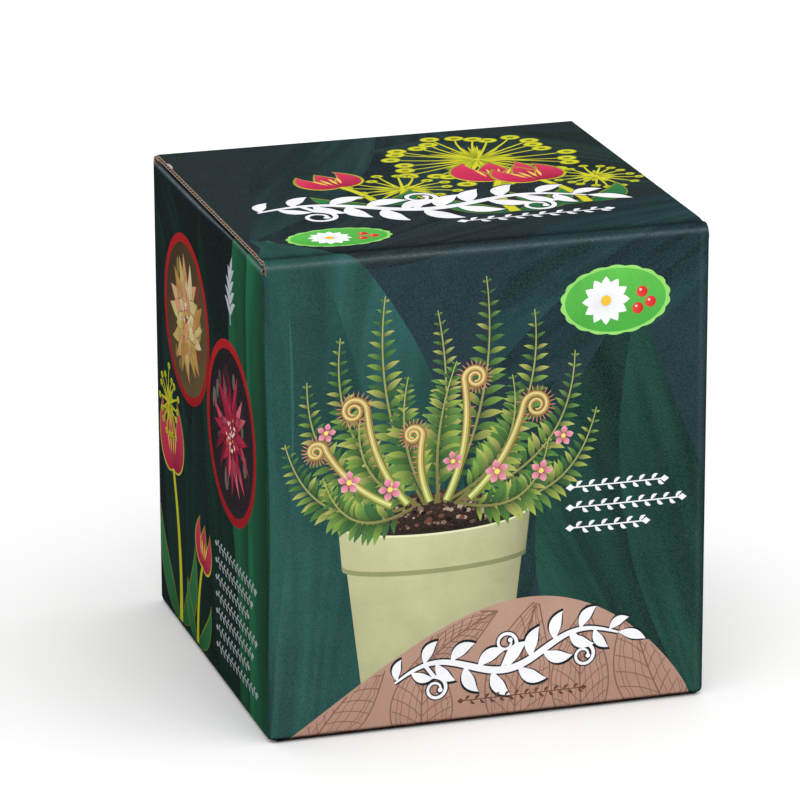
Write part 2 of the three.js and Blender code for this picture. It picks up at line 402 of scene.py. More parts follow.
BACKDROP = [
    # base, tip, width, bend, dark, light
    ((8, -70), (6, 152), 50, 0.0, "#1d4440", "#2a544b"),
    ((28, -34), (78, 92), 52, 0.06, "#142b2c", "#1d3c39"),
    ((150, 150), (58, 92), 50, -0.08, "#16282e", "#1c393b"),
    ((128, -16), (100, 112), 54, 0.12, "#112e29", "#1c463c"),
    ((66, 262), (2, 150), 60, 0.10, "#18262b", "#20393a"),
    ((138, 168), (56, 226), 52, -0.12, "#15231f", "#1f3331"),
    ((20, 128), (96, 176), 40, 0.05, "#1a2529", "#222e33"),
    ((0, -40), (2, 152), 50, -0.15, "#18403c", "#264f4b"),
    ((-19, -60), (-18, 226), 38, 0.0, "#0c3a26", "#1c6b47"),
    ((-36, -30), (-66, 128), 52, 0.06, "#021d18", "#053026"),
    ((-90, -12), (-106, 116), 46, -0.10, "#021b1b", "#062d28"),
    ((-128, 128), (-78, 60), 36, 0.12, "#03181a", "#052722"),
    ((-128, -10), (-142, 134), 56, 0.06, "#10302a", "#1c463c"),
    ((-206, -14), (-176, 118), 60, -0.08, "#122d2a", "#1a3f39"),
    ((-240, 150), (-196, 70), 46, 0.10, "#15262a", "#1b3537"),
    ((-236, -10), (-232, 90), 40, -0.05, "#12362c", "#1f4d40"),
    ((154, -12), (168, 126), 52, 0.10, "#0f2e2a", "#18443b"),
    ((214, -10), (196, 118), 50, -0.10, "#112a29", "#193c38"),
    ((240, 132), (186, 84), 40, 0.08, "#132529", "#1a3434"),
]
LID_GROUND = "#1d282a"
# The side walls' ground is darker than the lid's, partly as their print and partly as painted shade.
SIDE_GROUND_WITH_PAINTED_SHADE = "#02171a"
LID_GROUND_TOP = HEIGHT + 170
SIDE_GROUND_TOP = 190
FRONT_MARGIN = 14


def lay_ground(low, high, colour):
    """An even oblong of ink, under the leaves."""
    lay([low, (high[0], low[1]), high, (low[0], high[1])], colour)


lay_ground((-3, HEIGHT + 1), (WIDTH + 3, LID_GROUND_TOP), LID_GROUND)
for start in (-DEPTH, WIDTH + FRONT_MARGIN):
    lay_ground((start, -2), (start + DEPTH - FRONT_MARGIN, SIDE_GROUND_TOP), SIDE_GROUND_WITH_PAINTED_SHADE)
for leaf in BACKDROP:
    backdrop_leaf(*leaf)


# ---------------------------------------------------------------------------------------------
# The kraft ground: a brown hill at the foot of the front and of the back, covered with broad leaves
# drawn in a thin darker line.
KRAFT_PRINT = "#a48070"
KRAFT_LINE = "#7f5d50"


def pen_line(path, width, inside):
    """A thin line along the path, laid in as many parts as there are runs of its points inside."""
    keep = np.array([bool(inside(*spot)) for spot in path])
    breaks = np.flatnonzero(np.diff(keep.astype(int))) + 1
    for run in np.split(np.arange(len(path)), breaks):
        if keep[run[0]] and len(run) > 1:
            lay(stroke(path[run], width), KRAFT_LINE)


def line_leaf(base, length, turn, plump, inside, draw):
    """A broad leaf in thin line. Its edges stand from the rib by half of plump times its length, as
    a sine, and pairs of side veins bow forward to them, joined by short cross veins."""
    tip = (base[0] + length * math.sin(turn), base[1] + length * math.cos(turn))
    rib = curve(base, tip, 0.05, 30)
    t = np.linspace(0, 1, 30)
    _, aside = headings(rib)
    half = length * plump / 2 * np.sin(math.pi * t ** 0.85)
    pen_line(rib, 0.45, inside)
    for side in (-1, 1):
        pen_line(rib + side * aside * half[:, None], 0.4, inside)
        last = None
        for i in range(2, 26, 3):
            end = min(i + 5, 28)
            vein = curve(rib[i], rib[end] + side * aside[end] * half[end] * 0.96, -0.07 * side, 9)
            pen_line(vein, 0.28, inside)
            for k in (2, 4, 6, 7):
                if last is not None:
                    jog = (vein[k] + last[k]) / 2 + draw.uniform(-0.5, 0.5, 2)
                    pen_line(np.array([last[k], jog, vein[k]]), 0.2, inside)
            last = vein


HILL_HEIGHT = 33


def hill(start, width):
    """The hill's line, as heights over start to start + width: a sine drawn to the right, flattened
    on top."""
    p = np.linspace(0, 1, 90)
    return start + width * p, HILL_HEIGHT * np.maximum(np.sin(math.pi * p ** 1.35), 0) ** 0.75


def kraft_ground(start, width, seed):
    """The hill in kraft brown, and on it six leaves in thin line, cut off at the hill's line."""
    us, heights = hill(start, width)
    lay(np.concatenate([np.stack([us, heights], -1), [(us[-1], -1.2), (us[0], -1.2)]]), KRAFT_PRINT,
        "#ae8c7c", upright(0, 30))

    def inside(u, v):
        """Whether a place is on the hill, and not within half a millimetre of its line."""
        return 0.4 < v < np.interp(u, us, heights, -9, -9) - 0.5

    draw = np.random.default_rng(seed)
    for across, v, length, turn, plump in ((0.05, -4, 34, 0.75, 0.5), (0.34, -9, 31, 0.05, 0.55),
                                           (0.56, -9, 42, 0.16, 0.42), (0.74, -9, 38, 0.0, 0.42),
                                           (0.97, -8, 40, -0.35, 0.48), (0.34, 17, 24, 1.0, 0.42)):
        line_leaf((start + width * across, v), length, turn, plump, inside, draw)


# ---------------------------------------------------------------------------------------------
# The potted fern on the front and back: a pale lime pot of dark compost, arching fronds, coiled
# young fronds and small pink stars, printed like a studio photograph.
POT_TOP = 58.0
POT_FOOT = 12.0
POT_HALF = 26.0
POT_FOOT_HALF = 20.0


def pot(middle_u):
    """The pot's body, its lip with the shadow under it, its rim and the dark inside."""
    def round_light(at, colour):
        """Light on a round pot: brightest left of its middle, and darker to both sides as
        the height of a half circle falls."""
        across = np.clip((at[..., 0] - middle_u) / POT_HALF, -1, 1)
        shine = 0.48 + 0.46 * np.sqrt(np.maximum(1 - (across * 0.86 + 0.20) ** 2, 0))
        return colour * shine[..., None]

    rim = POT_TOP - 11.0
    body = np.concatenate([ellipse((middle_u, POT_FOOT), POT_FOOT_HALF, 2.6)[20:],
                           [(middle_u + POT_HALF - 2, rim), (middle_u - POT_HALF + 2, rim)]])
    lay(body, "#adad84", "#bdbd92", upright(POT_FOOT, rim), paint=round_light)
    lip = np.concatenate([ellipse((middle_u, rim), POT_HALF - 0.9, 3.4)[20:],
                          [(middle_u + POT_HALF, POT_TOP), (middle_u - POT_HALF, POT_TOP)]])
    lay(lip + (0.0, -1.3), "#8f9468", paint=round_light)
    lay(lip, "#bcbc90", "#c9c99e", upright(rim, POT_TOP), paint=round_light)
    lay(ellipse((middle_u, POT_TOP), POT_HALF, 5.2), "#dddcb8", "#c2c494",
        upright(POT_TOP - 5, POT_TOP + 5))
    lay(ellipse((middle_u, POT_TOP - 0.3), POT_HALF - 1.4, 4.3), "#2b211c", "#1a1512",
        upright(POT_TOP - 4, POT_TOP + 4))


def compost(middle_u, draw):
    """A low heap of crumbs: small five-sided specks, thicker at the middle."""
    heap_u = np.linspace(-1, 1, 25)
    top = POT_TOP + 6.5 * (1 - heap_u ** 2) + draw.uniform(-0.7, 0.7, 25)
    heap = np.stack([middle_u + heap_u * (POT_HALF - 2), top], -1)
    rest = ellipse((middle_u, POT_TOP - 0.4), POT_HALF - 2, 3.8)[20:]
    lay(np.concatenate([heap[::-1], rest]), "#241a16", "#3a2b24", upright(POT_TOP - 4, POT_TOP + 6))
    for _ in range(260):
        a = draw.uniform(-1, 1)
        v = draw.uniform(POT_TOP - 2.9 * math.sqrt(1 - a * a), POT_TOP + 6.0 * (1 - a * a))
        r = draw.uniform(0.2, 0.75)
        crumb = ellipse((middle_u + a * (POT_HALF - 3), v), r * 1.3, r, 5)
        lay(crumb, draw.choice(["#5a463a", "#15100d", "#7b6452", "#3d3028", "#a08f7a", "#6c3f35"]))


FERN_GREENS = ["#4f7a3a", "#7a9a44", "#3f6a3c", "#97a94e", "#668b45", "#a8ab5c"]


def frond(base, tip, bend, draw, leaflet, pairs=18):
    """A fern frond: pairs of leaflets along a bow, longest a quarter of the way up, then its
    stem."""
    path = curve(base, tip, bend, 40)
    slope = np.gradient(path, axis=0)
    for j in range(pairs, 0, -1):
        t = 0.10 + 0.88 * j / pairs
        i = min(int(39 * t), 38)
        heading = math.atan2(slope[i, 1], slope[i, 0])
        size = leaflet * (1 - t) ** 0.6 * min(1, t * 4) + 0.6
        for side in (-1, 1):
            ray = unit(heading + side * draw.uniform(1.0, 1.25))
            green = FERN_GREENS[int(draw.integers(len(FERN_GREENS)))]
            leaf = blade(path[i], path[i] + ray * size, max(size * 0.3, 0.7), -0.07 * side, 7)
            lay(leaf, "#2a4526", green, (path[i], path[i] + ray * size * 0.8))
    lay(stroke(path, np.linspace(0.9, 0.25, 40)), "#6d6a3c", "#a3a862", (base, tip))


def crozier(base, top, radius, thick=2.4):
    """A coiled young frond: a bowed stem that ends in a spiral whose radius halves every turn, with
    short reddish hairs."""
    base, top = np.array(base, float), np.array(top, float)
    side = 1 if top[0] > base[0] else -1
    rise = curve(base, top, -0.08 * side, 14)
    t = np.linspace(0, 3.6 * math.pi, 44)
    r = radius * 0.5 ** (t / (2 * math.pi))
    centre = top + (side * radius, 0)
    coil = np.stack([centre[0] - side * r * np.cos(t), centre[1] + r * np.sin(t)], -1)
    path = np.concatenate([rise[:-1], coil])
    n = len(path)
    for i in np.arange(int(n * 0.12), int(n * 0.62)):
        out = path[i] - (centre if i > 13 else path[i] - (side * 1.0, 0.0))
        out = out / (np.linalg.norm(out) + 1e-6)
        lay(blade(path[i] + out * 0.4, path[i] + out * (thick * 0.5 + 1.3), 0.34, 0, 4), "#a5564c", "#c98a74")
    widths = np.linspace(thick, 0.7, n)
    lay_line(path, widths, "#6f7a34", "#8f6a3e")
    lay_line(path + (-0.12, 0.12), widths * 0.62, "#a9b45c", "#b8a05c")
    lay_line(path + (-0.22, 0.22), widths * 0.22, "#d3d894", "#d8c890")


def star(centre, radius, petals, inner, outer, heart, turn=0.0, width=0.62, belly=1.25):
    """A flower: petals as blades from near the middle, darker inside, then a round heart."""
    centre = np.array(centre, float)
    for k in range(petals):
        ray = unit(turn + 2 * math.pi * k / petals)
        lay(blade(centre + ray * radius * 0.1, centre + ray * radius, radius * width, 0, 9, belly),
            inner, outer, (centre, centre + ray * radius))
    lay(ellipse(centre, radius * 0.22, radius * 0.22, 12), heart)


def potted_fern(middle_u, seed, lean):
    """The pot, its compost, fifteen fronds from the back to the front, five coils and seven stars.
    A lean of -1 mirrors the plant."""
    draw = np.random.default_rng(seed)
    pot(middle_u)
    compost(middle_u, draw)
    heart = np.array([middle_u, POT_TOP + 3.5])
    fans = [(-40, 20, 0.24), (-34, 36, 0.2), (-25, 47, 0.15), (-13, 57, 0.08), (1, 52, -0.05),
            (14, 60, -0.08), (27, 50, -0.14), (38, 38, -0.2), (44, 22, -0.26), (-19, 30, 0.22),
            (21, 33, -0.2), (6, 38, 0.06), (-7, 35, 0.1), (31, 15, -0.3), (-30, 10, 0.3)]
    for across, height, bow in fans:
        root = heart + (across * 0.2, draw.uniform(-1.5, 1.5))
        frond(root, heart + (across * lean, height), bow * lean, draw, draw.uniform(7, 9))
    for across, height, r in ((-18, 27, 3.6), (8, 33, 3.2), (24, 24, 3.8), (-3, 19, 2.6),
                              (-29, 17, 2.6)):
        crozier(heart + (across * 0.4 * lean, 0.5), heart + (across * lean, height), r)
    for across, height in ((-23, 8), (-12, 5), (17, 7), (29, 6), (5, 11), (-29, 22), (35, 15)):
        star(heart + (across * lean, height), draw.uniform(2.6, 3.4), 5, "#b03a5e", "#e3a0ae",
             "#e8d46a", draw.uniform(0, 6))


# ---------------------------------------------------------------------------------------------
# White ornament: a leafy garland edged in a dark line, leafy rules and a small upright sprig.
def garland(start, length, turn, swing, leaf, stations=17):
    """A garland: a stem that waves one and a half times, thick in the middle, with a pointed leaf to
    each side in turn, three coiled tendrils, and a leaf at its end. Laid in the dark edge first,
    then in white."""
    across = unit(turn)
    upward = np.array([-math.sin(turn), math.cos(turn)])
    p = np.linspace(0, 1, 80)
    wave = swing * np.sin(p * 3 * math.pi)
    stem = np.array(start) + np.multiply.outer(length * p, across) + np.multiply.outer(wave, upward)
    slope, aside = headings(stem)
    thick = leaf * (0.07 + 0.17 * np.sin(math.pi * p))
    leaves = [(stem[-1], stem[-1] + slope[-1] * leaf, 0.34, 0.06)]
    for k in range(stations):
        i = int(79 * (k + 0.4) / stations)
        side = 1 if k % 2 == 0 else -1
        ray = unit(math.atan2(slope[i, 1], slope[i, 0]) + side * 0.82)
        size = leaf * (0.72 + 0.38 * math.sin(math.pi * p[i]))
        leaves.append((stem[i], stem[i] + ray * size, 0.4, 0.14 * side))
    coils = []
    t = np.linspace(0, 2.6 * math.pi, 30)
    r = leaf * 0.42 * 0.5 ** (t / (2 * math.pi))
    for i, side in ((14, -1), (40, 1), (66, -1)):
        outward = aside[i] * side
        coil = stem[i] + outward * leaf * 0.9 + np.multiply.outer(-r * np.cos(t), outward)
        coil = coil + np.multiply.outer(r * np.sin(t), slope[i])
        coils.append(np.concatenate([[stem[i] + slope[i] * -leaf * 0.3], coil]))
    for edge, colour in ((0.9, DARK_LINE), (0.0, WHITE_INK)):
        for coil in coils:
            lay_line(coil, np.linspace(leaf * 0.13, leaf * 0.07, 31) + edge * 0.8, colour)
            lay(ellipse(coil[-1], leaf * 0.08 + edge / 2, leaf * 0.08 + edge / 2, 12), colour)
        lay_line(stem, thick + edge, colour)
        for foot, tip, plump, bow in leaves:
            long = np.linalg.norm(tip - foot)
            far = tip + (tip - foot) / long * edge * 0.9
            lay(blade(foot, far, long * plump + edge, bow, 11, 1.0), colour)


def leafy_rule(start, length, size, colour):
    """A rule: a thin line with a small leaf to each side in turn and a lozenge at each end."""
    start = np.array(start, float)
    lay(stroke([start, start + (length, 0)], size * 0.12), colour)
    across, rise = (size * 0.42, 0), (0, size * 0.32)
    for end in (0.0, length):
        at = start + (end, 0)
        lay([at + across, at + rise, at - across, at - rise], colour)
    count = int(length / (size * 0.55))
    for k in range(1, count):
        at = start + (length * k / count, 0)
        side = 1 if k % 2 else -1
        lay(blade(at, at + (size * 0.55, side * size * 0.5), size * 0.32, 0.16 * side, 8, 1.0), colour)


def sprig_mark(base, height, colour):
    """An upright sprig: a stem, four pairs of leaves and one at the tip."""
    base = np.array(base, float)
    lay(stroke([base, base + (0, height * 0.8)], height * 0.035), colour)
    for k in range(4):
        foot = base + (0, height * (0.14 + 0.17 * k))
        for side in (-1, 1):
            tip = foot + (side * height * (0.30 - 0.04 * k), height * 0.26)
            lay(blade(foot, tip, height * 0.11, 0.12 * side, 9), colour)
    lay(blade(base + (0, height * 0.74), base + (0, height * 1.08), height * 0.13, 0, 9), colour)


# ---------------------------------------------------------------------------------------------
# Flat-colour flowers in lime yellow, crimson and green: tulips, and round flower heads on rays.
def ray_head(centre, radius, rays, seed):
    """A round flower head: thin rays of mixed lengths with a knob at each end, then a dense heart."""
    draw = np.random.default_rng(seed)
    centre = np.array(centre, float)
    for k in range(rays):
        a = 2 * math.pi * (k + draw.uniform(-0.2, 0.2)) / rays
        reach = radius * draw.uniform(0.72, 1.0)
        end = centre + unit(a) * reach
        lay(stroke(curve(centre, end, draw.uniform(-0.06, 0.06), 5), (1.1, 0.9, 0.7, 0.55, 0.5)), LIME)
        lay(ellipse(end, radius * 0.1 + 0.3, (radius * 0.1 + 0.3) * 0.8, 14), LIME_SHADE)
        lay(ellipse(end + (0, 0.1), radius * 0.1, radius * 0.08, 14), LIME)
        lay(ellipse(end, radius * 0.045, radius * 0.035, 8), LIME_SHADE)
    for k in range(rays * 2):
        ray = unit(draw.uniform(0, 2 * math.pi))
        lay(blade(centre + ray * 0.8, centre + ray * radius * draw.uniform(0.3, 0.55), 1.0, 0, 5),
            LIME_SHADE if k % 3 else LIME, LIME)


def tulip(base, height, lean, width):
    """A tulip: a bowed lime stem, two green leaves, and a crimson cup of three petals with lime
    edges."""
    base = np.array(base, float)
    neck = base + (lean, height)
    path = curve(base, neck, 0.06 if lean > 0 else -0.06, 20)
    for side in (-1, 1):
        tip = base + (side * width * 1.25 + lean * 0.4, height * 0.66)
        lay(blade(base, tip, width * 0.62, -0.16 * side, 16), LIME_SHADE)
        lay(blade(base, tip + (0, -0.8), width * 0.62 - 0.9, -0.16 * side, 16), "#1f5b35", LEAF_GREEN)
    thick = np.linspace(width * 0.2, width * 0.13, 20)
    lay(stroke(path, thick + 0.6), LIME_SHADE)
    lay(stroke(path, thick), LIME)
    lean_angle = math.atan2(lean, height)
    axis = np.array([math.sin(lean_angle), math.cos(lean_angle)])
    aside = np.array([axis[1], -axis[0]])
    for spread, ink in ((0.0, "#7c1233"), (-0.5, CRIMSON), (0.5, "#98183c")):
        tip = neck + axis * width * 1.35 + aside * spread * width
        bow = -0.44 * spread
        lay(blade(neck, tip, width * 0.72, bow, 18, 0.75), LIME, LIME_SHADE)
        lay(blade(neck + axis * 0.4, tip - axis * 0.9, width * 0.72 - 1.1, bow, 18, 0.75), ink, "#d23a5c")
    for spread in (-0.36, -0.12, 0.12, 0.36):
        tip = neck + axis * width * 0.85 + aside * spread * width
        lay(blade(neck + axis * width * 0.3 + aside * spread * width * 0.5, tip, 0.9, 0, 5), "#e7c35a")


def daisy_badge(centre, rx, ry, turn=0.0):
    """A bright green scalloped oval with a white daisy and three red berries."""
    t = np.linspace(0, 2 * math.pi, 120, endpoint=False)
    scallop = 1 + 0.045 * np.abs(np.sin(t * 9))
    rim = np.stack([centre[0] + rx * scallop * np.cos(t), centre[1] + ry * scallop * np.sin(t)], -1)
    lay(rim, "#8fd06a")
    lay(ellipse(centre, rx * 0.95, ry * 0.95, 60), BADGE_GREEN, "#46a23e",
        upright(centre[1] + ry, centre[1] - ry))
    star(np.array(centre) + (-rx * 0.18, 0), ry * 0.72, 12, "#d8dce0", "#f2f2f4", "#e7b93a", turn,
         0.42, 1.3)
    for x, y in ((0.5, 0.18), (0.66, -0.14), (0.42, -0.3)):
        at = np.array(centre) + (rx * x, ry * y)
        lay(ellipse(at, ry * 0.17, ry * 0.17, 20), "#c22226", "#e0453c")
        lay(ellipse(at + (-ry * 0.05, ry * 0.06), ry * 0.04, ry * 0.04, 8), "#f6c9bd")


# Each medallion's ground from dark to pale, its petals' edge ink and breadth, and the inks of the
# leaves behind and of the petals.
MEDALLIONS = (
    ("#151013", "#2b2027", "#3d0a1c", 0.13, ["#4c4a44", "#39202a", "#6d675c", "#251c24"],
     ["#a3193c", "#c8324e", "#7c1030", "#d96a78"]),
    ("#3a2a1c", "#6a5636", "#5a3d22", 0.24, ["#8a7a3e", "#5c3f2c", "#a9924e", "#7a3c30"],
     ["#cdb768", "#e3d7a6", "#b98a45", "#d9a07a"]),
)


def medallion(centre, radius, kind, seed):
    """A red-ringed round picture. Kind 0 is a crimson rosette on dark, kind 1 a cream bloom."""
    draw = np.random.default_rng(seed)
    centre = np.array(centre, float)
    dark, pale, edge_ink, plump, leaf_inks, petal_inks = MEDALLIONS[kind]
    lay(ellipse(centre, radius, radius, 72), RING_RED, "#9c1218",
        upright(centre[1] + radius, centre[1] - radius))
    inner = radius * 0.9
    lay(ellipse(centre, inner, inner, 64), dark, pale, (centre + (-inner, inner), centre + (inner, -inner)))
    for _ in range(26):
        at = centre + unit(draw.uniform(0, 2 * math.pi)) * inner * draw.uniform(0.3, 0.78)
        r = inner * draw.uniform(0.05, 0.17)
        lay(ellipse(at, r * 0.6, r, 14), draw.choice(leaf_inks))
    for ring, count in ((0.86, 16), (0.62, 13), (0.4, 9)):
        for k in range(count):
            ray = unit(2 * math.pi * (k + draw.uniform(-0.25, 0.25)) / count + ring)
            tip = centre + ray * inner * ring * draw.uniform(0.85, 1.0)
            width = inner * plump
            foot, bow = centre + ray * 1.2, draw.uniform(-0.1, 0.1)
            lay(blade(foot, tip, width + 0.5, bow, 9), edge_ink)
            first, last = petal_inks[int(draw.integers(4))], petal_inks[int(draw.integers(4))]
            lay(blade(foot, tip, width, bow, 9), first, last)
    for _ in range(40):
        a, r = draw.uniform(0, 2 * math.pi), inner * 0.24 * math.sqrt(draw.uniform(0, 1))
        lay(ellipse(centre + unit(a) * r, 0.5, 0.5, 6),
            draw.choice(["#f0d7c0", "#e8b23c", "#c23a50", "#fff2e6"]))


# ---------------------------------------------------------------------------------------------
# The printed picture, panel by panel: front, lid, left, right and back.
potted_fern(45.0, 5, 1.0)
kraft_ground(4.0, 112.0, 11)
garland((34.0, 13.0), 62.0, 0.12, 3.2, 8.2)
leafy_rule((52.0, 6.0), 34.0, 2.4, "#5a3d31")
for row, length in enumerate((26.0, 31.0, 21.0)):
    leafy_rule((82.0, 62.0 - 5.6 * row), length, 3.0, WHITE_INK)
daisy_badge((94.0, 112.0), 14.5, 9.0)

for x, y, r, rays, seed in ((82, 210, 26, 28, 1), (54, 187, 15, 18, 2), (107, 184, 12, 16, 3)):
    ray_head((x, y), r, rays, seed)
for x, y, tall, lean, width in ((76, 158, 30, 5, 14), (97, 161, 24, -5, 12), (44, 174, 20, -5, 11)):
    tulip((x, y), tall, lean, width)
garland((11.0, 176.0), 88.0, -0.10, 4.4, 12.5, 19)
daisy_badge((25.0, 148.0), 13.5, 8.0, 0.3)
leafy_rule((60.0, 153.0), 40.0, 4.2, WHITE_INK)
# A chip of bare paper at the lid's left edge, near its rear.
lay(ellipse((0.75, HEIGHT + 98.0), 0.55, 2.7), "#b3a59e")

for turn_u in (0.0, WIDTH + DEPTH):
    medallion((turn_u - 80, 92), 23.5, 1, 21)
    medallion((turn_u - 35, 74), 25.0, 0, 22)
    tulip((turn_u - 91, 2), 42, -6, 15)
    tulip((turn_u - 73, 2), 24, 6, 10)
    ray_head((turn_u - 101, 62), 11, 16, 6)
    for row in range(7):
        leafy_rule((turn_u - 52, 38.0 - 4.8 * row), 40.0 - 4 * (row % 3), 2.8, "#aeb4b8")
    sprig_mark((turn_u - 34, 104), 17.0, "#c3c8cf")

potted_fern(-DEPTH - 68.0, 8, -1.0)
kraft_ground(-DEPTH - 115.0, 112.0, 12)
garland((-DEPTH - 92.0, 13.0), 62.0, 0.12, 3.2, 8.2)
daisy_badge((-DEPTH - 24.0, 110.0), 14.0, 9.0)


# ---------------------------------------------------------------------------------------------
# The board's three papers. Micro-flute board is a printed top liner, a waved brown medium and a
# kraft inner liner. Its flutes run along u, so the wave shows at every edge cut across them.
TOP_LINER = 0.30
INNER_LINER = 0.25
MEDIUM = 0.22
FLUTE_PITCH = 2.4
# Steps of the sheets' triangles, in millimetres: on the printed sheet and on plain ones, beside a
# bend on each, and along printed edges beside a bend. BEND_REACH is how far a bend asks for these,
# and RIM_GAP is how far the points inside a plain sheet keep from its rim.
GRID = 1.6
BARE_GRID = 5.0
BEND_GRID = 0.45
BARE_BEND_GRID = 0.9
BEND_EDGE = 0.5
LEAST_STEP = 0.12
BEND_REACH = 3.0
RIM_GAP = 0.6 * GRID
CORNER_US = (TAB_FOLD_U, -DEPTH, 0.0, WIDTH)


def flute(v):
    """Depth of the medium's middle: a sine of one flute pitch between the two liners."""
    room = (BOARD - TOP_LINER - INNER_LINER - MEDIUM) / 2
    return TOP_LINER + MEDIUM / 2 + room + room * np.sin(2 * math.pi * v / FLUTE_PITCH)


# Finish numbers of each paper's outer face, inner face and cut edge: 0 print, 1 cut paper edge,
# 2 inside of a flute, painted dark as shade, 3 kraft liner.
PAPER_KINDS = {"top_liner": (0, 2, 1), "medium": (2, 2, 1), "inner_liner": (2, 3, 1)}
LAYERS = {
    "top_liner": (lambda v: 0 * v, lambda v: 0 * v + TOP_LINER),
    "medium": (lambda v: flute(v) - MEDIUM / 2, lambda v: flute(v) + MEDIUM / 2),
    "inner_liner": (lambda v: 0 * v + BOARD - INNER_LINER, lambda v: 0 * v + BOARD),
}


def rulings(low, high, step, bends, fine):
    """Even steps from low to high, with finer ones within reach of each bend."""
    lines = [np.linspace(low, high, max(2, int(round((high - low) / step)) + 1))]
    for at in bends:
        near = np.arange(at - BEND_REACH, at + BEND_REACH + fine / 2, fine)
        lines.append(near[(near > low) & (near < high)])
    lines = np.unique(np.round(np.concatenate(lines), 3))
    return lines[np.concatenate([[True], np.diff(lines) > LEAST_STEP])]


def crossings(us, vs):
    """Every point where one of the u rulings crosses one of the v rulings."""
    return np.stack(np.meshgrid(us, vs), -1).reshape(-1, 2)


def divided(ring, bends_u, bends_v):
    """A ring of points with even ones added: no side is longer than the grid's step, or than half a
    millimetre where the side comes within reach of a bend."""
    ring = np.asarray(ring, float)
    sides = []
    for a, b in zip(ring, np.roll(ring, -1, 0)):
        low, high = np.minimum(a, b) - BEND_REACH, np.maximum(a, b) + BEND_REACH
        across = any(low[0] < at < high[0] for at in bends_u)
        bent_here = across or any(low[1] < at < high[1] for at in bends_v)
        step = BEND_EDGE if bent_here else GRID
        count = max(1, int(math.ceil(np.linalg.norm(b - a) / step)))
        sides.append(a + (b - a) * (np.arange(count) / count)[:, None])
    return np.concatenate(sides)


def within(ring, spots):
    """Whether each spot is inside the ring: it is where a line to the right of it crosses the ring
    an odd number of times."""
    crossed = np.zeros(len(spots), int)
    x, y = spots[:, 0], spots[:, 1]
    for (ax, ay), (bx, by) in zip(ring, np.roll(ring, -1, 0)):
        spans = (ay > y) != (by > y)
        at = ax + (y - ay) * (bx - ax) / np.where(spans, by - ay, 1)
        crossed += spans & (at > x)
    return crossed % 2 == 1


def ring_area(ring):
    """Signed area by the shoelace formula, positive where the ring runs anticlockwise."""
    x, y = ring[:, 0], ring[:, 1]
    return np.sum(x * np.roll(y, -1) - y * np.roll(x, -1)) / 2


# Points nearer than SAME_POINT are one point. A fill has run out where it covers OVERRUN times its
# shape and a little more. Triangles under NO_AREA are slivers, whose middles say nothing.
SAME_POINT = 1e-5
OVERRUN = 1.3
OVERRUN_MM2 = 0.05
NO_AREA = 1e-9


def cut_sheet(rings, grid):
    """Constrained Delaunay triangles of the first ring, the sheet's outline. Every other ring, a
    printed shape, is an edge of triangles too, with the grid's points between. Returns points,
    triangles, for each triangle the number of the uppermost shape on it, or 0 for bare sheet, and
    the point numbers of the outline's corners. A shape whose fill has run out past its own edge,
    which its area tells, is passed over."""
    starts = np.concatenate([[0], np.cumsum([len(ring) for ring in rings])])
    faces = [list(range(a, b)) for a, b in zip(starts[:-1], starts[1:])]
    points = np.concatenate(rings + [grid])
    vectors = [Vector(p) for p in points]
    found, _, parts, sources, _, origins = delaunay_2d_cdt(vectors, [], faces, 0, SAME_POINT, True)
    found, parts = np.array(found), np.array(parts)
    p, q, r = (found[parts[:, k]] for k in range(3))
    doubled = (q - p)[:, 0] * (r - p)[:, 1] - (q - p)[:, 1] * (r - p)[:, 0]
    parts = parts[:, ::-1] if doubled.sum() < 0 else parts
    pairs = np.array([(i, number) for i, origin in enumerate(origins) for number in origin])
    covered = np.bincount(pairs[:, 1], np.abs(doubled[pairs[:, 0]]) / 2, len(rings))
    sound = covered < OVERRUN * np.array([ring_area(ring) for ring in rings]) + OVERRUN_MM2
    pairs = pairs[sound[pairs[:, 1]]]
    owner = np.zeros(len(parts), int)
    np.maximum.at(owner, pairs[:, 0], pairs[:, 1])
    on_sheet = np.zeros(len(parts), bool)
    on_sheet[pairs[pairs[:, 1] == 0, 0]] = True
    inside = np.where(np.abs(doubled) > NO_AREA, within(rings[0], (p + q + r) / 3), on_sheet)
    used, triangles = np.unique(parts[inside], return_inverse=True)
    number_of = np.full(len(points), -1)
    for new, olds in enumerate(sources):
        number_of[list(olds)] = new
    kept = np.full(len(found), -1)
    kept[used] = np.arange(len(used))
    return found[used], triangles.reshape(-1, 3), owner[inside], kept[number_of[:len(rings[0])]]


def border(triangles, n):
    """The edges that belong to one triangle only, as pairs of point numbers."""
    edges = np.concatenate([triangles[:, [0, 1]], triangles[:, [1, 2]], triangles[:, [2, 0]]])
    return edges[~np.isin(edges[:, 0] * n + edges[:, 1], edges[:, 1] * n + edges[:, 0])]


def backing(uv, triangles, us, vs):
    """A plainer sheet with the same border: the border's points in order, and the rulings' crossings
    that are well inside it. Returns its points, its triangles and its border edges, given as pairs
    of numbers in the first sheet and in this one."""
    onward = dict(border(triangles, len(uv)).tolist())
    ring = [next(iter(onward))]
    while onward[ring[-1]] != ring[0]:
        ring.append(onward[ring[-1]])
    spots = crossings(us, vs)
    gap = np.min(np.linalg.norm(spots[:, None] - uv[ring][None], axis=-1), axis=1)
    spots = spots[(gap > RIM_GAP) & within(uv[ring], spots)]
    plain, parts, _, numbers = cut_sheet([uv[ring]], spots)
    ring = np.array(ring)
    return plain, parts, np.stack([ring, np.roll(ring, -1), numbers, np.roll(numbers, -1)], -1)


# Upright creases, rubbed to bare paper and given a painted highlight: place, strength and reach.
UPRIGHT_RUBS_AND_HIGHLIGHTS = ((-DEPTH, 0.5, 0.45), (0.0, 0.24, 0.5), (WIDTH - 2.4, 0.5, 0.9), (TAB_FOLD_U, 0.7, 0.45))


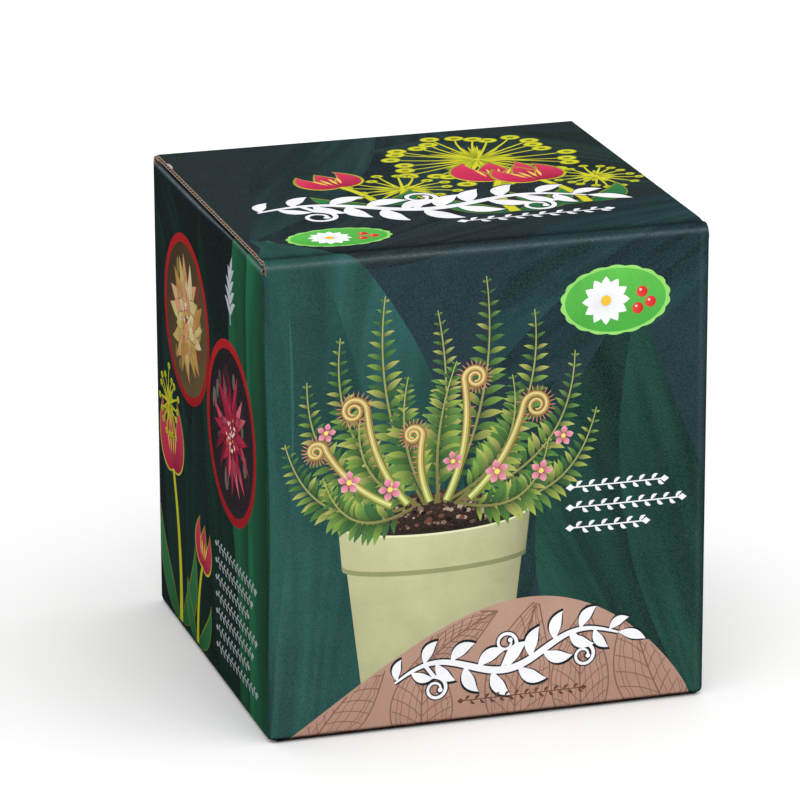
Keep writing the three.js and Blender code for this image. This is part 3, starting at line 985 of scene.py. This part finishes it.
def wear_and_painted_light_at(uv):
    """How rubbed and how lit a place is, less painted shade. Each rub is its strength times
    exp(-(distance / reach) ^ 2) from a crease, and stands for chips of bare paper under a painted
    highlight. Painted shade darkens the ink round the right corner, in the groove behind the lid's
    crease and on both side walls where they aren't rubbed, and a painted shadow lies in a line where
    the side walls turn in under the lid, away from the corners. The ink is also darker along the
    front's foot."""
    u, v = uv[:, 0], uv[:, 1]
    on_wall = (v > 0) & (v < HEIGHT - 2)
    on_front = (u > -1) & (u < WIDTH + 1)
    # Each rub: chips of bare paper and a painted highlight along its crease.
    rubs_and_painted_highlights = [strength * bell(u, at, reach) * on_wall for at, strength, reach in UPRIGHT_RUBS_AND_HIGHLIGHTS]
    rubs_and_painted_highlights.append(0.88 * bell(v - HEIGHT, -0.8, 1.25) * on_front)
    rubs_and_painted_highlights.append(0.9 * bell(v - HEIGHT - LID_LENGTH, -0.5, 0.6) * on_front)
    rubs_and_painted_highlights.append(1.15 * bell(v - SIDE_HEIGHT, -0.75, 0.9) * ~on_front)
    # Painted shade round the right corner and in the groove behind the lid's crease; darker ink along the
    # front's foot.
    corner = 0.6 * smooth(u, WIDTH - 1.2, WIDTH + 0.4) * (1 - smooth(u, WIDTH + 2, WIDTH + 8)) * on_wall
    foot = 0.97 * (1 - smooth(v, 0.7, 1.8)) * smooth(v, -6, -3) * on_front
    groove = 0.6 * bell(v - HEIGHT, 4.4, 1.9) * on_front
    # A painted shadow where the side walls turn in under the lid, away from the corners.
    from_corner = np.min(np.abs(np.subtract.outer(u, CORNER_US)), axis=1)
    shadow = smooth(from_corner, 4, 22) * smooth(v, SIDE_HEIGHT, SIDE_HEIGHT + 0.5) * ~on_front
    shadow = 0.9 * shadow * (1 - smooth(v, SIDE_HEIGHT + 2.4, SIDE_HEIGHT + 4))
    wear_and_painted_light = np.maximum.reduce(rubs_and_painted_highlights) * (1 - shadow)
    # Painted shade on both side walls, where they aren't rubbed.
    on_left = smooth(-u, -0.4, 0.8) * smooth(u, -DEPTH - 0.4, -DEPTH + 0.8)
    side = 0.3 * np.maximum(on_left, smooth(u, WIDTH, WIDTH + 1))
    side = side * smooth(v, -3, -1) * (1 - smooth(wear_and_painted_light, 0.0, 0.3))
    return wear_and_painted_light - np.maximum.reduce([corner, foot, groove, side, shadow])


def layer_arrays(outline, wall, layer, bend_lines):
    """One paper of one panel as a closed sheet: its outer face, its inner face turned over, and two
    triangles for each edge of its rim. Returns places, triangles, material numbers and marks."""
    top, under = LAYERS[layer]
    low, high = np.min(outline, 0), np.max(outline, 0)
    printed = layer == "top_liner"
    shapes = [ink for ink in inks if (ink[0].min(0) < high).all() and (ink[0].max(0) > low).all()] * printed
    step, fine = (GRID, BEND_GRID) if printed else (BARE_GRID, BARE_BEND_GRID)
    us = rulings(low[0], high[0], step, CORNER_US, fine)
    vs = rulings(low[1], high[1], FLUTE_PITCH / 6 if layer == "medium" else step, bend_lines, fine)
    rings = [np.asarray(ring, float) for ring in [outline] + [shape[0] for shape in shapes]]
    rings = [divided(ring if ring_area(ring) > 0 else ring[::-1], CORNER_US, bend_lines) for ring in rings]
    uv, triangles, owner, _ = cut_sheet(rings, crossings(us, vs))
    n = len(uv)
    if printed:
        us = rulings(low[0], high[0], BARE_GRID, CORNER_US, BARE_BEND_GRID)
        vs = rulings(low[1], high[1], BARE_GRID, bend_lines, BARE_BEND_GRID)
        under_uv, under_triangles, rim = backing(uv, triangles, us, vs)
        a, b, c, d = rim[:, 0], rim[:, 1], rim[:, 2] + n, rim[:, 3] + n
    else:
        under_uv, under_triangles = uv, triangles
        a, b = border(triangles, n).T
        c, d = a + n, b + n
    places = np.concatenate([place(wall, uv[:, 0], uv[:, 1], top(uv[:, 1])),
                             place(wall, under_uv[:, 0], under_uv[:, 1], under(under_uv[:, 1]))])
    sides = np.concatenate([np.stack([c, d, b], -1), np.stack([c, b, a], -1)])
    faces = np.concatenate([triangles, under_triangles[:, ::-1] + n, sides])
    corners = uv[triangles]
    colour = np.ones((len(faces), 3, 4))
    colour[..., :3] = linear(SLATE)
    vein = np.zeros((len(faces), 3, 3))
    for number in np.unique(owner[owner > 0]):
        mine = np.flatnonzero(owner == number)
        colour[mine, :, :3], vein[mine] = inked(shapes[number - 1], corners[mine])
    # The chart gives the seen face nearly the whole square, and puts all else in strips below it.
    seen_from, seen_to = {"top_liner": (0, len(triangles)), "medium": (0, 0),
                          "inner_liner": (len(triangles), len(triangles) + len(under_triangles))}[layer]
    kinds = np.repeat(PAPER_KINDS[layer], [len(triangles), len(under_triangles), len(sides)])
    both = np.concatenate([uv, under_uv])
    flat = ((both - low) / (high - low))[faces]
    chart = flat * (0.48, 0.06) + (0.51 if layer == "medium" else 0.01, 0.01)
    chart[seen_from:seen_to] = flat[seen_from:seen_to] * (0.99, 0.9) + (0.005, 0.09)
    # One mark holds the rubbed creases with their painted highlights, less the painted shade.
    marks = {"print": colour, "vein": vein, "chart": chart, "along": both[:, 1],
             "wear_and_painted_light": wear_and_painted_light_at(both)}
    return places, faces, kinds, marks


# The marks that the finishes read, and how the mesh keeps each of them.
MARKS = (("print", "FLOAT_COLOR", "CORNER", "color"), ("vein", "FLOAT_VECTOR", "CORNER", "vector"),
         ("along", "FLOAT", "POINT", "value"), ("wear_and_painted_light", "FLOAT", "POINT", "value"))
SHARP_DEGREES = 40


def board_piece(name, outline, wall, layers, bend_lines):
    """The given papers of one panel as one object, with its four materials and its printed marks."""
    parts = [layer_arrays(outline, wall, layer, bend_lines) for layer in layers]
    shifts = np.cumsum([0] + [len(part[0]) for part in parts[:-1]])
    places = np.concatenate([part[0] for part in parts])
    faces = np.concatenate([part[1] + shift for part, shift in zip(parts, shifts)])
    kinds = np.concatenate([part[2] for part in parts])
    marks = {key: np.concatenate([part[3][key] for part in parts]) for key in parts[0][3]}
    mesh = bpy.data.meshes.new(name)
    mesh.from_pydata(places.tolist(), [], faces.tolist())
    for material in BOARD_MATERIALS:
        mesh.materials.append(material)
    mesh.polygons.foreach_set("material_index", kinds.astype(np.int32))
    for key, kind, domain, field in MARKS:
        mark = mesh.attributes.new(key, kind, domain)
        mark.data.foreach_set(field, marks[key].astype(np.float32).ravel())
    chart = mesh.uv_layers.new(name="OFBake")
    chart.uv.foreach_set("vector", marks["chart"].astype(np.float32).ravel())
    mesh.update()
    mesh.shade_smooth()
    mesh.set_sharp_from_angle(angle=math.radians(SHARP_DEGREES))
    piece = bpy.data.objects.new(name, mesh)
    bpy.context.scene.collection.objects.link(piece)
    return piece


def panel(name, wall, outline, body, bend_lines=()):
    """A whole panel in place of the CAD node of that name: its printed liner in one piece, and the
    medium and inner liner behind it in another."""
    for part, layers in (("print", ["top_liner"]), ("core", ["medium", "inner_liner"])):
        piece = board_piece(name + "_" + part, outline, wall, layers, bend_lines)
        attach(piece, body)
        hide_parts(name)


def crease(name, wall, outline, bend_at):
    """The board across a moving crease, one piece per paper, with its transform applied to its mesh.
    The heading from its first row of points to its last is worked out, and not used."""
    for layer in LAYERS:
        piece = board_piece(name + "_" + layer, outline, wall, (layer,), (bend_at,))
        mesh = piece.data
        along = np.empty(len(mesh.vertices), np.float32)
        mesh.attributes["along"].data.foreach_get("value", along)
        spots = np.empty(len(mesh.vertices) * 3, np.float32)
        mesh.vertices.foreach_get("co", spots)
        spots = spots.reshape(-1, 3).astype(float)
        first = spots[along < along.min() + 0.01]
        last = spots[along > along.max() - 0.01]
        heading = last.mean(0) - first.mean(0)
        heading[int(np.argmax(np.ptp(spots, axis=0)))] = 0.0
        heading /= np.linalg.norm(heading)
        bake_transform(piece)


# ---------------------------------------------------------------------------------------------
# Finishes. The printed liner is a litho sheet with a matt film, the inner liner is plain kraft
# paper, and the medium between them is rougher brown paper that shows only at cut edges. Inside the
# flutes, the medium and the liners' hidden faces are painted dark as shade.
def add_node(tree, kind, inputs=None, **settings):
    """Adds a node. settings are its properties. inputs gives each socket a value, or a link where
    the value is another node's socket."""
    node = tree.nodes.new("ShaderNode" + kind)
    for key, value in settings.items():
        setattr(node, key, value)
    for key, value in (inputs or {}).items():
        if isinstance(value, bpy.types.NodeSocket):
            tree.links.new(value, node.inputs[key])
        else:
            node.inputs[key].default_value = value
    return node


def attribute(tree, name, output="Fac"):
    """One of the board's marks, read by name."""
    return add_node(tree, "Attribute", attribute_name=name).outputs[output]


def noise(tree, spots, scale, detail=2.0, roughness=0.5, distortion=0.0):
    """Cloudy noise, as many lumps to the metre as the scale says."""
    return add_node(tree, "TexNoise", {"Vector": spots, "Scale": scale, "Detail": detail,
                    "Roughness": roughness, "Distortion": distortion}).outputs["Fac"]


def spread(tree, value, old, new, shape="LINEAR"):
    """A value carried from its old range to a new one, and held within it."""
    return add_node(tree, "MapRange", {"Value": value, "From Min": old[0], "From Max": old[1],
                    "To Min": new[0], "To Max": new[1]}, interpolation_type=shape).outputs[0]


def worked_out(tree, operation, *values):
    """A sum on one to three values."""
    return add_node(tree, "Math", dict(enumerate(values)), operation=operation).outputs[0]


def on_colour(tree, operation, colour, other):
    """A sum on a colour and another colour or value."""
    return add_node(tree, "VectorMath", {0: colour, 1: other}, operation=operation).outputs["Vector"]


def mixed(tree, factor, first, last):
    """A mix of two colours."""
    mix = add_node(tree, "Mix", {"Factor": factor, "A": first, "B": last}, data_type="RGBA")
    return mix.outputs["Result"]


def new_paper(name, roughness, ior):
    """A new material with its tree, its shader and the place on the part, in metres."""
    material = bpy.data.materials.new(name)
    material.use_nodes = True
    tree = material.node_tree
    shader = tree.nodes["Principled BSDF"]
    shader.inputs["Roughness"].default_value = roughness
    shader.inputs["IOR"].default_value = ior
    return material, tree, shader, add_node(tree, "TexCoord").outputs["Object"]


def washboard(tree, shader, strength, depth, grain, amount):
    """The flutes as a bump: a sine of one flute pitch along v, plus the grain by an amount."""
    turns = worked_out(tree, "MULTIPLY", attribute(tree, "along"), 2 * math.pi / FLUTE_PITCH)
    relief = worked_out(tree, "MULTIPLY_ADD", grain, amount, worked_out(tree, "SINE", turns))
    bump = add_node(tree, "Bump", {"Strength": strength, "Distance": depth, "Height": relief})
    tree.links.new(bump.outputs["Normal"], shader.inputs["Normal"])


def rgba(hexed):
    """An sRGB hex value as linear light with full alpha."""
    return (*linear(hexed), 1.0)


# Litho print under matt film: even, deep ink with next to no sheen, so that the dark leaves stay dark
# at a slant. The flutes show through as a faint washboard, and rubbed creases show the pale paper
# under a painted highlight; painted shade darkens the ink at some creases and corners and on the
# side walls.
litho, tree, shader, spots = new_paper("litho_print_under_matt_film", 0.7, 1.5)
shader.inputs["Specular IOR Level"].default_value = 0.004
ink = attribute(tree, "print", "Color")
vein = attribute(tree, "vein", "Vector")
wear_and_painted_light = attribute(tree, "wear_and_painted_light")
# Leaf veins, 1 to 3 mm apart where the leaves are widest, as noise drawn out along the fan.
veined_by = add_node(tree, "SeparateXYZ", {0: vein}).outputs["Z"]
drawn_out = add_node(tree, "Mapping", {"Vector": vein, "Scale": (0.30, 0.012, 0.0)}).outputs[0]
streaks = spread(tree, noise(tree, drawn_out, 1.0, 2.0, 0.55, 0.3), (0.34, 0.66), (0.66, 1.28), "SMOOTHSTEP")
vein_tone = add_node(tree, "Mix", {"Factor": veined_by, "A": 1.0, "B": streaks}, data_type="FLOAT")
veined = on_colour(tree, "MULTIPLY", ink, vein_tone.outputs["Result"])
# Uneven ink over some 10 mm, and film grain of about 0.4 mm, drawn coarser than the real film's so
# that it shows. The grain is a thin haze on top of the ink, so it shows on the dark inks alone; as it
# lifts the ink a little on average, it is also a painted sheen. All of it is darkened by painted
# shade where the painted-light mark is below 0.
mottle = spread(tree, noise(tree, spots, 100.0, 5.0, 0.65), (0.3, 0.7), (0.92, 1.08))
darker = spread(tree, wear_and_painted_light, (-1.0, 0.0), (0.0, 1.0))
grain = noise(tree, spots, 2300.0, 2.0, 0.6)
haze = spread(tree, grain, (0.3, 0.7), (-0.005, 0.021))
speckled = on_colour(tree, "ADD", veined, haze)
toned = on_colour(tree, "MULTIPLY", speckled, worked_out(tree, "MULTIPLY", mottle, darker))
# Along the creases: a soft paling that is a painted highlight, broken up by chips of rubbed bare paper of
# about 1 mm.
chips = worked_out(tree, "MULTIPLY", noise(tree, spots, 1100.0, 4.0, 0.75), wear_and_painted_light)
bare = spread(tree, chips, (0.34, 0.8), (0.0, 0.55), "SMOOTHSTEP")
painted_sheen = worked_out(tree, "POWER", worked_out(tree, "MAXIMUM", wear_and_painted_light, 0.0), 2.0)
paled = worked_out(tree, "MULTIPLY_ADD", painted_sheen, 0.27, bare)
tree.links.new(mixed(tree, paled, toned, rgba("#75858b")), shader.inputs["Base Color"])
washboard(tree, shader, 0.3, 0.00002, grain, 1.6)

# Kraft liner: unbleached paper, pale warm brown and quite matt, with long fibres and cloudy patches.
kraft, tree, shader, spots = new_paper("kraft_liner_paper", 0.8, 1.45)
long_way = add_node(tree, "Mapping", {"Vector": spots, "Scale": (1, 3.5, 3.5)}).outputs[0]
fibres = noise(tree, long_way, 260.0, 6.0, 0.65)
cloud = spread(tree, noise(tree, spots, 45.0), (0.3, 0.7), (0.9, 1.08))
tone = mixed(tree, fibres, rgba("#957054"), rgba("#c9a584"))
tree.links.new(on_colour(tree, "MULTIPLY", tone, cloud), shader.inputs["Base Color"])
washboard(tree, shader, 0.5, 0.00003, fibres, 1.2)

# Inside of the flutes: recycled brown paper, rough, and so deep in its tunnels that little light
# comes back out. Its colour is darkened as painted shade, so it is darker than the cut edges round it.
medium, tree, shader, spots = new_paper("flute_inside_painted_shade", 0.9, 1.45)
fibres = noise(tree, spots, 900.0, 4.0, 0.6)
tree.links.new(mixed(tree, fibres, rgba("#2c1a12"), rgba("#4a2f22")), shader.inputs["Base Color"])

# Cut edges of the top liner: torn white and kraft fibres, paler than the sheet's face.
cut_paper, tree, shader, spots = new_paper("cut_paper_edge", 0.85, 1.45)
fibres = noise(tree, spots, 1100.0, 3.0, 0.6)
tree.links.new(mixed(tree, fibres, rgba("#86695a"), rgba("#b59b8c")), shader.inputs["Base Color"])
BOARD_MATERIALS = (litho, cut_paper, medium, kraft)


# ---------------------------------------------------------------------------------------------
# The front wall. Its ends wrap round both upright creases, and above them a short slit frees the
# lid's strip from the corners. Those corners, the ears, end just under the lid. The foot is cut off
# below the crease, where the bottom flap begins as a panel of its own.
LID_CUT = 4.0
EAR_TOP_V = HEIGHT - 3.0
EAR_SHOULDER_V = EAR_TOP_V - 0.6
EAR_SLANT = 1.2
SLIT = 0.05
WRAP = 3.0
FOOT_GAP = 0.5
FOOT_CUT = 2.6
flap_inset = box_mm("bottom_flap_front")[0][0] - front_low[0]
EDGE_L, EDGE_R = LID_INSET, WIDTH - LID_INSET
STRIP_V = HEIGHT - LID_CUT
panel("front_wall", "front", [
    (-WRAP, FOOT_GAP), (flap_inset, FOOT_GAP), (flap_inset, -FOOT_CUT),
    (WIDTH - flap_inset, -FOOT_CUT), (WIDTH - flap_inset, FOOT_GAP), (WIDTH + WRAP, FOOT_GAP),
    (WIDTH + WRAP, EAR_SHOULDER_V), (WIDTH + EAR_SLANT, EAR_TOP_V), (EDGE_R + SLIT, EAR_TOP_V),
    (EDGE_R, STRIP_V), (EDGE_L, STRIP_V), (EDGE_L - SLIT, EAR_TOP_V), (-EAR_SLANT, EAR_TOP_V),
    (-WRAP, EAR_SHOULDER_V)], "carton", bend_lines=(0.0, EAR_TOP_V))


# ---------------------------------------------------------------------------------------------
# The lid and its two creases. The lid is one with the front wall over a broad rounded crease, and
# its rear edge folds down into the tuck flap.
TUCK_CUT = 3.5
NOTCH = 0.1
NOTCH_DEPTH = 0.4
TUCK_SHOULDER = 1.2
tuck_inset = tuck_low[0] - front_low[0]
LID_V = HEIGHT + LID_CUT
LID_BEND_V = HEIGHT + 3
LID_END_V = HEIGHT + LID_LENGTH - TUCK_CUT
TUCK_V = HEIGHT + LID_LENGTH + TUCK_CUT
TUCK_END_V = HEIGHT + LID_LENGTH + TUCK_LENGTH
crease("lid_crease", "front", [(EDGE_L, STRIP_V), (EDGE_R, STRIP_V), (EDGE_R, LID_V), (EDGE_L, LID_V)],
       HEIGHT)
panel("lid", "front", [(EDGE_L, LID_V), (EDGE_R, LID_V), (EDGE_R, LID_END_V), (EDGE_L, LID_END_V)],
      "lid", bend_lines=(LID_BEND_V,))
notch_v = LID_END_V + TUCK_CUT - NOTCH_DEPTH
crease("tuck_crease", "front", [
    (EDGE_L, LID_END_V), (EDGE_R, LID_END_V), (EDGE_R - NOTCH, notch_v),
    (WIDTH - tuck_inset, TUCK_V - TUCK_SHOULDER), (WIDTH - tuck_inset, TUCK_V), (tuck_inset, TUCK_V),
    (tuck_inset, TUCK_V - TUCK_SHOULDER), (EDGE_L + NOTCH, notch_v)],
    HEIGHT + LID_LENGTH)


def rounded(corner, before, after, radius, n=7):
    """A quarter bow that rounds a corner between two neighbours: a quadratic Bezier."""
    corner, before, after = (np.array(p, float) for p in (corner, before, after))
    a = corner + (before - corner) / np.linalg.norm(before - corner) * radius
    b = corner + (after - corner) / np.linalg.norm(after - corner) * radius
    t = np.linspace(0, 1, n)[:, None]
    return ((1 - t) ** 2 * a + 2 * t * (1 - t) * corner + t ** 2 * b).tolist()


TUCK_CORNER = 9.0
TUCK_TAPER = 1.5
tuck_right = (WIDTH - tuck_inset - TUCK_TAPER, TUCK_END_V)
tuck_left = (tuck_inset + TUCK_TAPER, TUCK_END_V)
panel("tuck_flap", "front", [(tuck_inset, TUCK_V), (WIDTH - tuck_inset, TUCK_V)]
      + rounded(tuck_right, (WIDTH - tuck_inset, TUCK_V), tuck_left, TUCK_CORNER)
      + rounded(tuck_left, tuck_right, (tuck_inset, TUCK_V), TUCK_CORNER), "tuck")


# ---------------------------------------------------------------------------------------------
# The side walls and their dust flaps, which fold in under the lid.
DUST_CUT = 3.0
DUST_V = SIDE_HEIGHT + DUST_CUT
SIDE_V = SIDE_HEIGHT - DUST_CUT
dust_reach = dust_high[0] - front_low[0]
DUST_END_V = SIDE_HEIGHT + dust_reach
DUST_FRONT = dust_low[1] - front_low[1]
DUST_REAR = back_high[1] - dust_high[1]
DUST_FRONT_SLOPE = 0.55
DUST_REAR_TAPER = 2.0
DUST_CORNER = 6.0
FOOT_START = 4
FOOT_END = 1
SHOULDER_V = BACK_HEIGHT - 0.9


def dust_outline(sign, origin):
    """A dust flap on the flat sheet; sign -1 is the left one, whose front edge is at higher u."""
    front_end = DUST_FRONT + DUST_FRONT_SLOPE * (dust_reach - DUST_CUT)
    rear_end = DEPTH - DUST_REAR - DUST_REAR_TAPER
    a, b = (origin + sign * DUST_FRONT, DUST_V), (origin + sign * front_end, DUST_END_V)
    c, d = (origin + sign * rear_end, DUST_END_V), (origin + sign * (DEPTH - DUST_REAR), DUST_V)
    return [a] + rounded(b, a, c, DUST_CORNER) + rounded(c, b, d, DUST_CORNER) + [d]


for wall, sign, origin, rear in (("left", -1, 0.0, -DEPTH + WRAP), ("right", 1, WIDTH, WIDTH + RAW_EDGE)):
    near, far = origin + sign * DUST_FRONT, origin + sign * (DEPTH - DUST_REAR)
    panel(wall + "_wall", wall, [
        (origin + sign * WRAP, FOOT_GAP), (origin + sign * FOOT_START, 0.0), (rear - sign * FOOT_END, 0.0),
        (rear, FOOT_GAP), (rear, SHOULDER_V), (far + sign * SLIT, SHOULDER_V), (far, SIDE_V), (near, SIDE_V),
        (near - sign * SLIT, EAR_SHOULDER_V), (origin + sign * WRAP, EAR_SHOULDER_V)],
        "carton", bend_lines=(0.0, SIDE_HEIGHT))
    crease("dust_crease_" + wall, wall, [(near, SIDE_V), (far, SIDE_V), (far, DUST_V), (near, DUST_V)],
           SIDE_HEIGHT)
    panel("dust_flap_" + wall, wall, dust_outline(sign, origin), "dust_" + wall,
          bend_lines=(SIDE_HEIGHT,))


# ---------------------------------------------------------------------------------------------
# The back wall, with the seam tab folded off its far edge and glued inside the right wall.
BACK_L, BACK_R = TAB_FOLD_U - 1.6, -DEPTH + WRAP
BACK_FLAP_L, BACK_FLAP_R = TAB_FOLD_U + 0.4, -DEPTH - flap_inset
TOP_SLANT = 2
panel("back_wall", "back", [
    (BACK_L, FOOT_GAP), (BACK_FLAP_L, FOOT_GAP), (BACK_FLAP_L, -FOOT_CUT), (BACK_FLAP_R, -FOOT_CUT),
    (BACK_FLAP_R, FOOT_GAP), (BACK_R, FOOT_GAP), (BACK_R, SHOULDER_V), (-DEPTH - TOP_SLANT, BACK_HEIGHT),
    (TAB_FOLD_U + TOP_SLANT, BACK_HEIGHT), (BACK_L, SHOULDER_V)], "carton", bend_lines=(0.0,))
tab_low, tab_high = box_mm("glue_tab")
TAB_END_U = TAB_FOLD_U - (back_high[1] - tab_low[1])
TAB_TAPER = 4.0
panel("glue_tab", "tab", [
    (TAB_END_U, tab_low[2] + TAB_TAPER), (BACK_L, tab_low[2]), (BACK_L, tab_high[2]),
    (TAB_END_U, tab_high[2] - TAB_TAPER)], "carton")


# ---------------------------------------------------------------------------------------------
# The bottom. Two long flaps hook past each other at the middle, over two short flaps that are glued
# inside them.
SHORT_FLAP_START = 1.5
SHORT_FLAP_TAPER = 14.0
HOOK_STEP = 12.0
HOOK_HALF_RUN = 12.0
SEAM_GAP = 0.4
seam_near = DEPTH / 2 - SEAM_GAP / 2


def hooked_outline(start_u, middle_u, end_u):
    """A long flap whose free edge steps back at its middle, so that two of them hook together."""
    long_v, short_v = -(seam_near + HOOK_STEP), -(seam_near - HOOK_STEP)
    return [(start_u, -FOOT_CUT), (start_u, long_v), (middle_u - HOOK_HALF_RUN, long_v),
            (middle_u + HOOK_HALF_RUN, short_v), (end_u, short_v), (end_u, -FOOT_CUT)]


panel("bottom_flap_front", "front", hooked_outline(flap_inset, WIDTH / 2, WIDTH - flap_inset), "carton")
panel("bottom_flap_back", "back", hooked_outline(BACK_FLAP_L, -DEPTH - WIDTH / 2, BACK_FLAP_R), "carton")
for side, sign, origin in (("left", -1, 0.0), ("right", 1, WIDTH)):
    flap_low, flap_high = box_mm("bottom_flap_" + side)
    near, far = flap_low[1] - front_low[1], flap_high[1] - front_low[1]
    flap_end = -(flap_high[0] - flap_low[0] + BOARD)
    panel("bottom_flap_" + side, "short_flap_" + side, [
        (origin + sign * near, -SHORT_FLAP_START), (origin + sign * (near + SHORT_FLAP_TAPER), flap_end),
        (origin + sign * (far - SHORT_FLAP_TAPER), flap_end), (origin + sign * far, -SHORT_FLAP_START)],
        "carton")


# ---------------------------------------------------------------------------------------------
# The floor and the light. A pale paper floor, a white room and one very broad, soft sun, which
# stands high in front and a little to the right. The floor lies just under the bottom, so that the
# two don't share a plane.
FLOOR_Z = -0.0002
SUN_FROM = (0.15, -0.5, 0.85)
bpy.ops.mesh.primitive_circle_add(vertices=96, radius=6.0, fill_type="NGON", location=(0, 0, FLOOR_Z))
floor = bpy.context.object
floor.name = "floor"
paper = bpy.data.materials.new("white_paper_sweep")
paper.use_nodes = True
paper.node_tree.nodes["Principled BSDF"].inputs["Base Color"].default_value = rgba("#fcfcfc")
paper.node_tree.nodes["Principled BSDF"].inputs["Roughness"].default_value = 0.9
floor.data.materials.append(paper)

world = bpy.data.worlds.new("white_room")
bpy.context.scene.world = world
world.use_nodes = True
world.node_tree.nodes["Background"].inputs["Color"].default_value = (1, 1, 1, 1)
world.node_tree.nodes["Background"].inputs["Strength"].default_value = 0.7
bpy.context.scene.view_settings.view_transform = "Standard"

key_data = bpy.data.lights.new("key", "SUN")
key_data.energy = 1.75
key_data.angle = math.radians(100)
key = bpy.data.objects.new("key", key_data)
bpy.context.scene.collection.objects.link(key)
key.rotation_euler = Vector(SUN_FROM).to_track_quat("Z", "Y").to_euler()
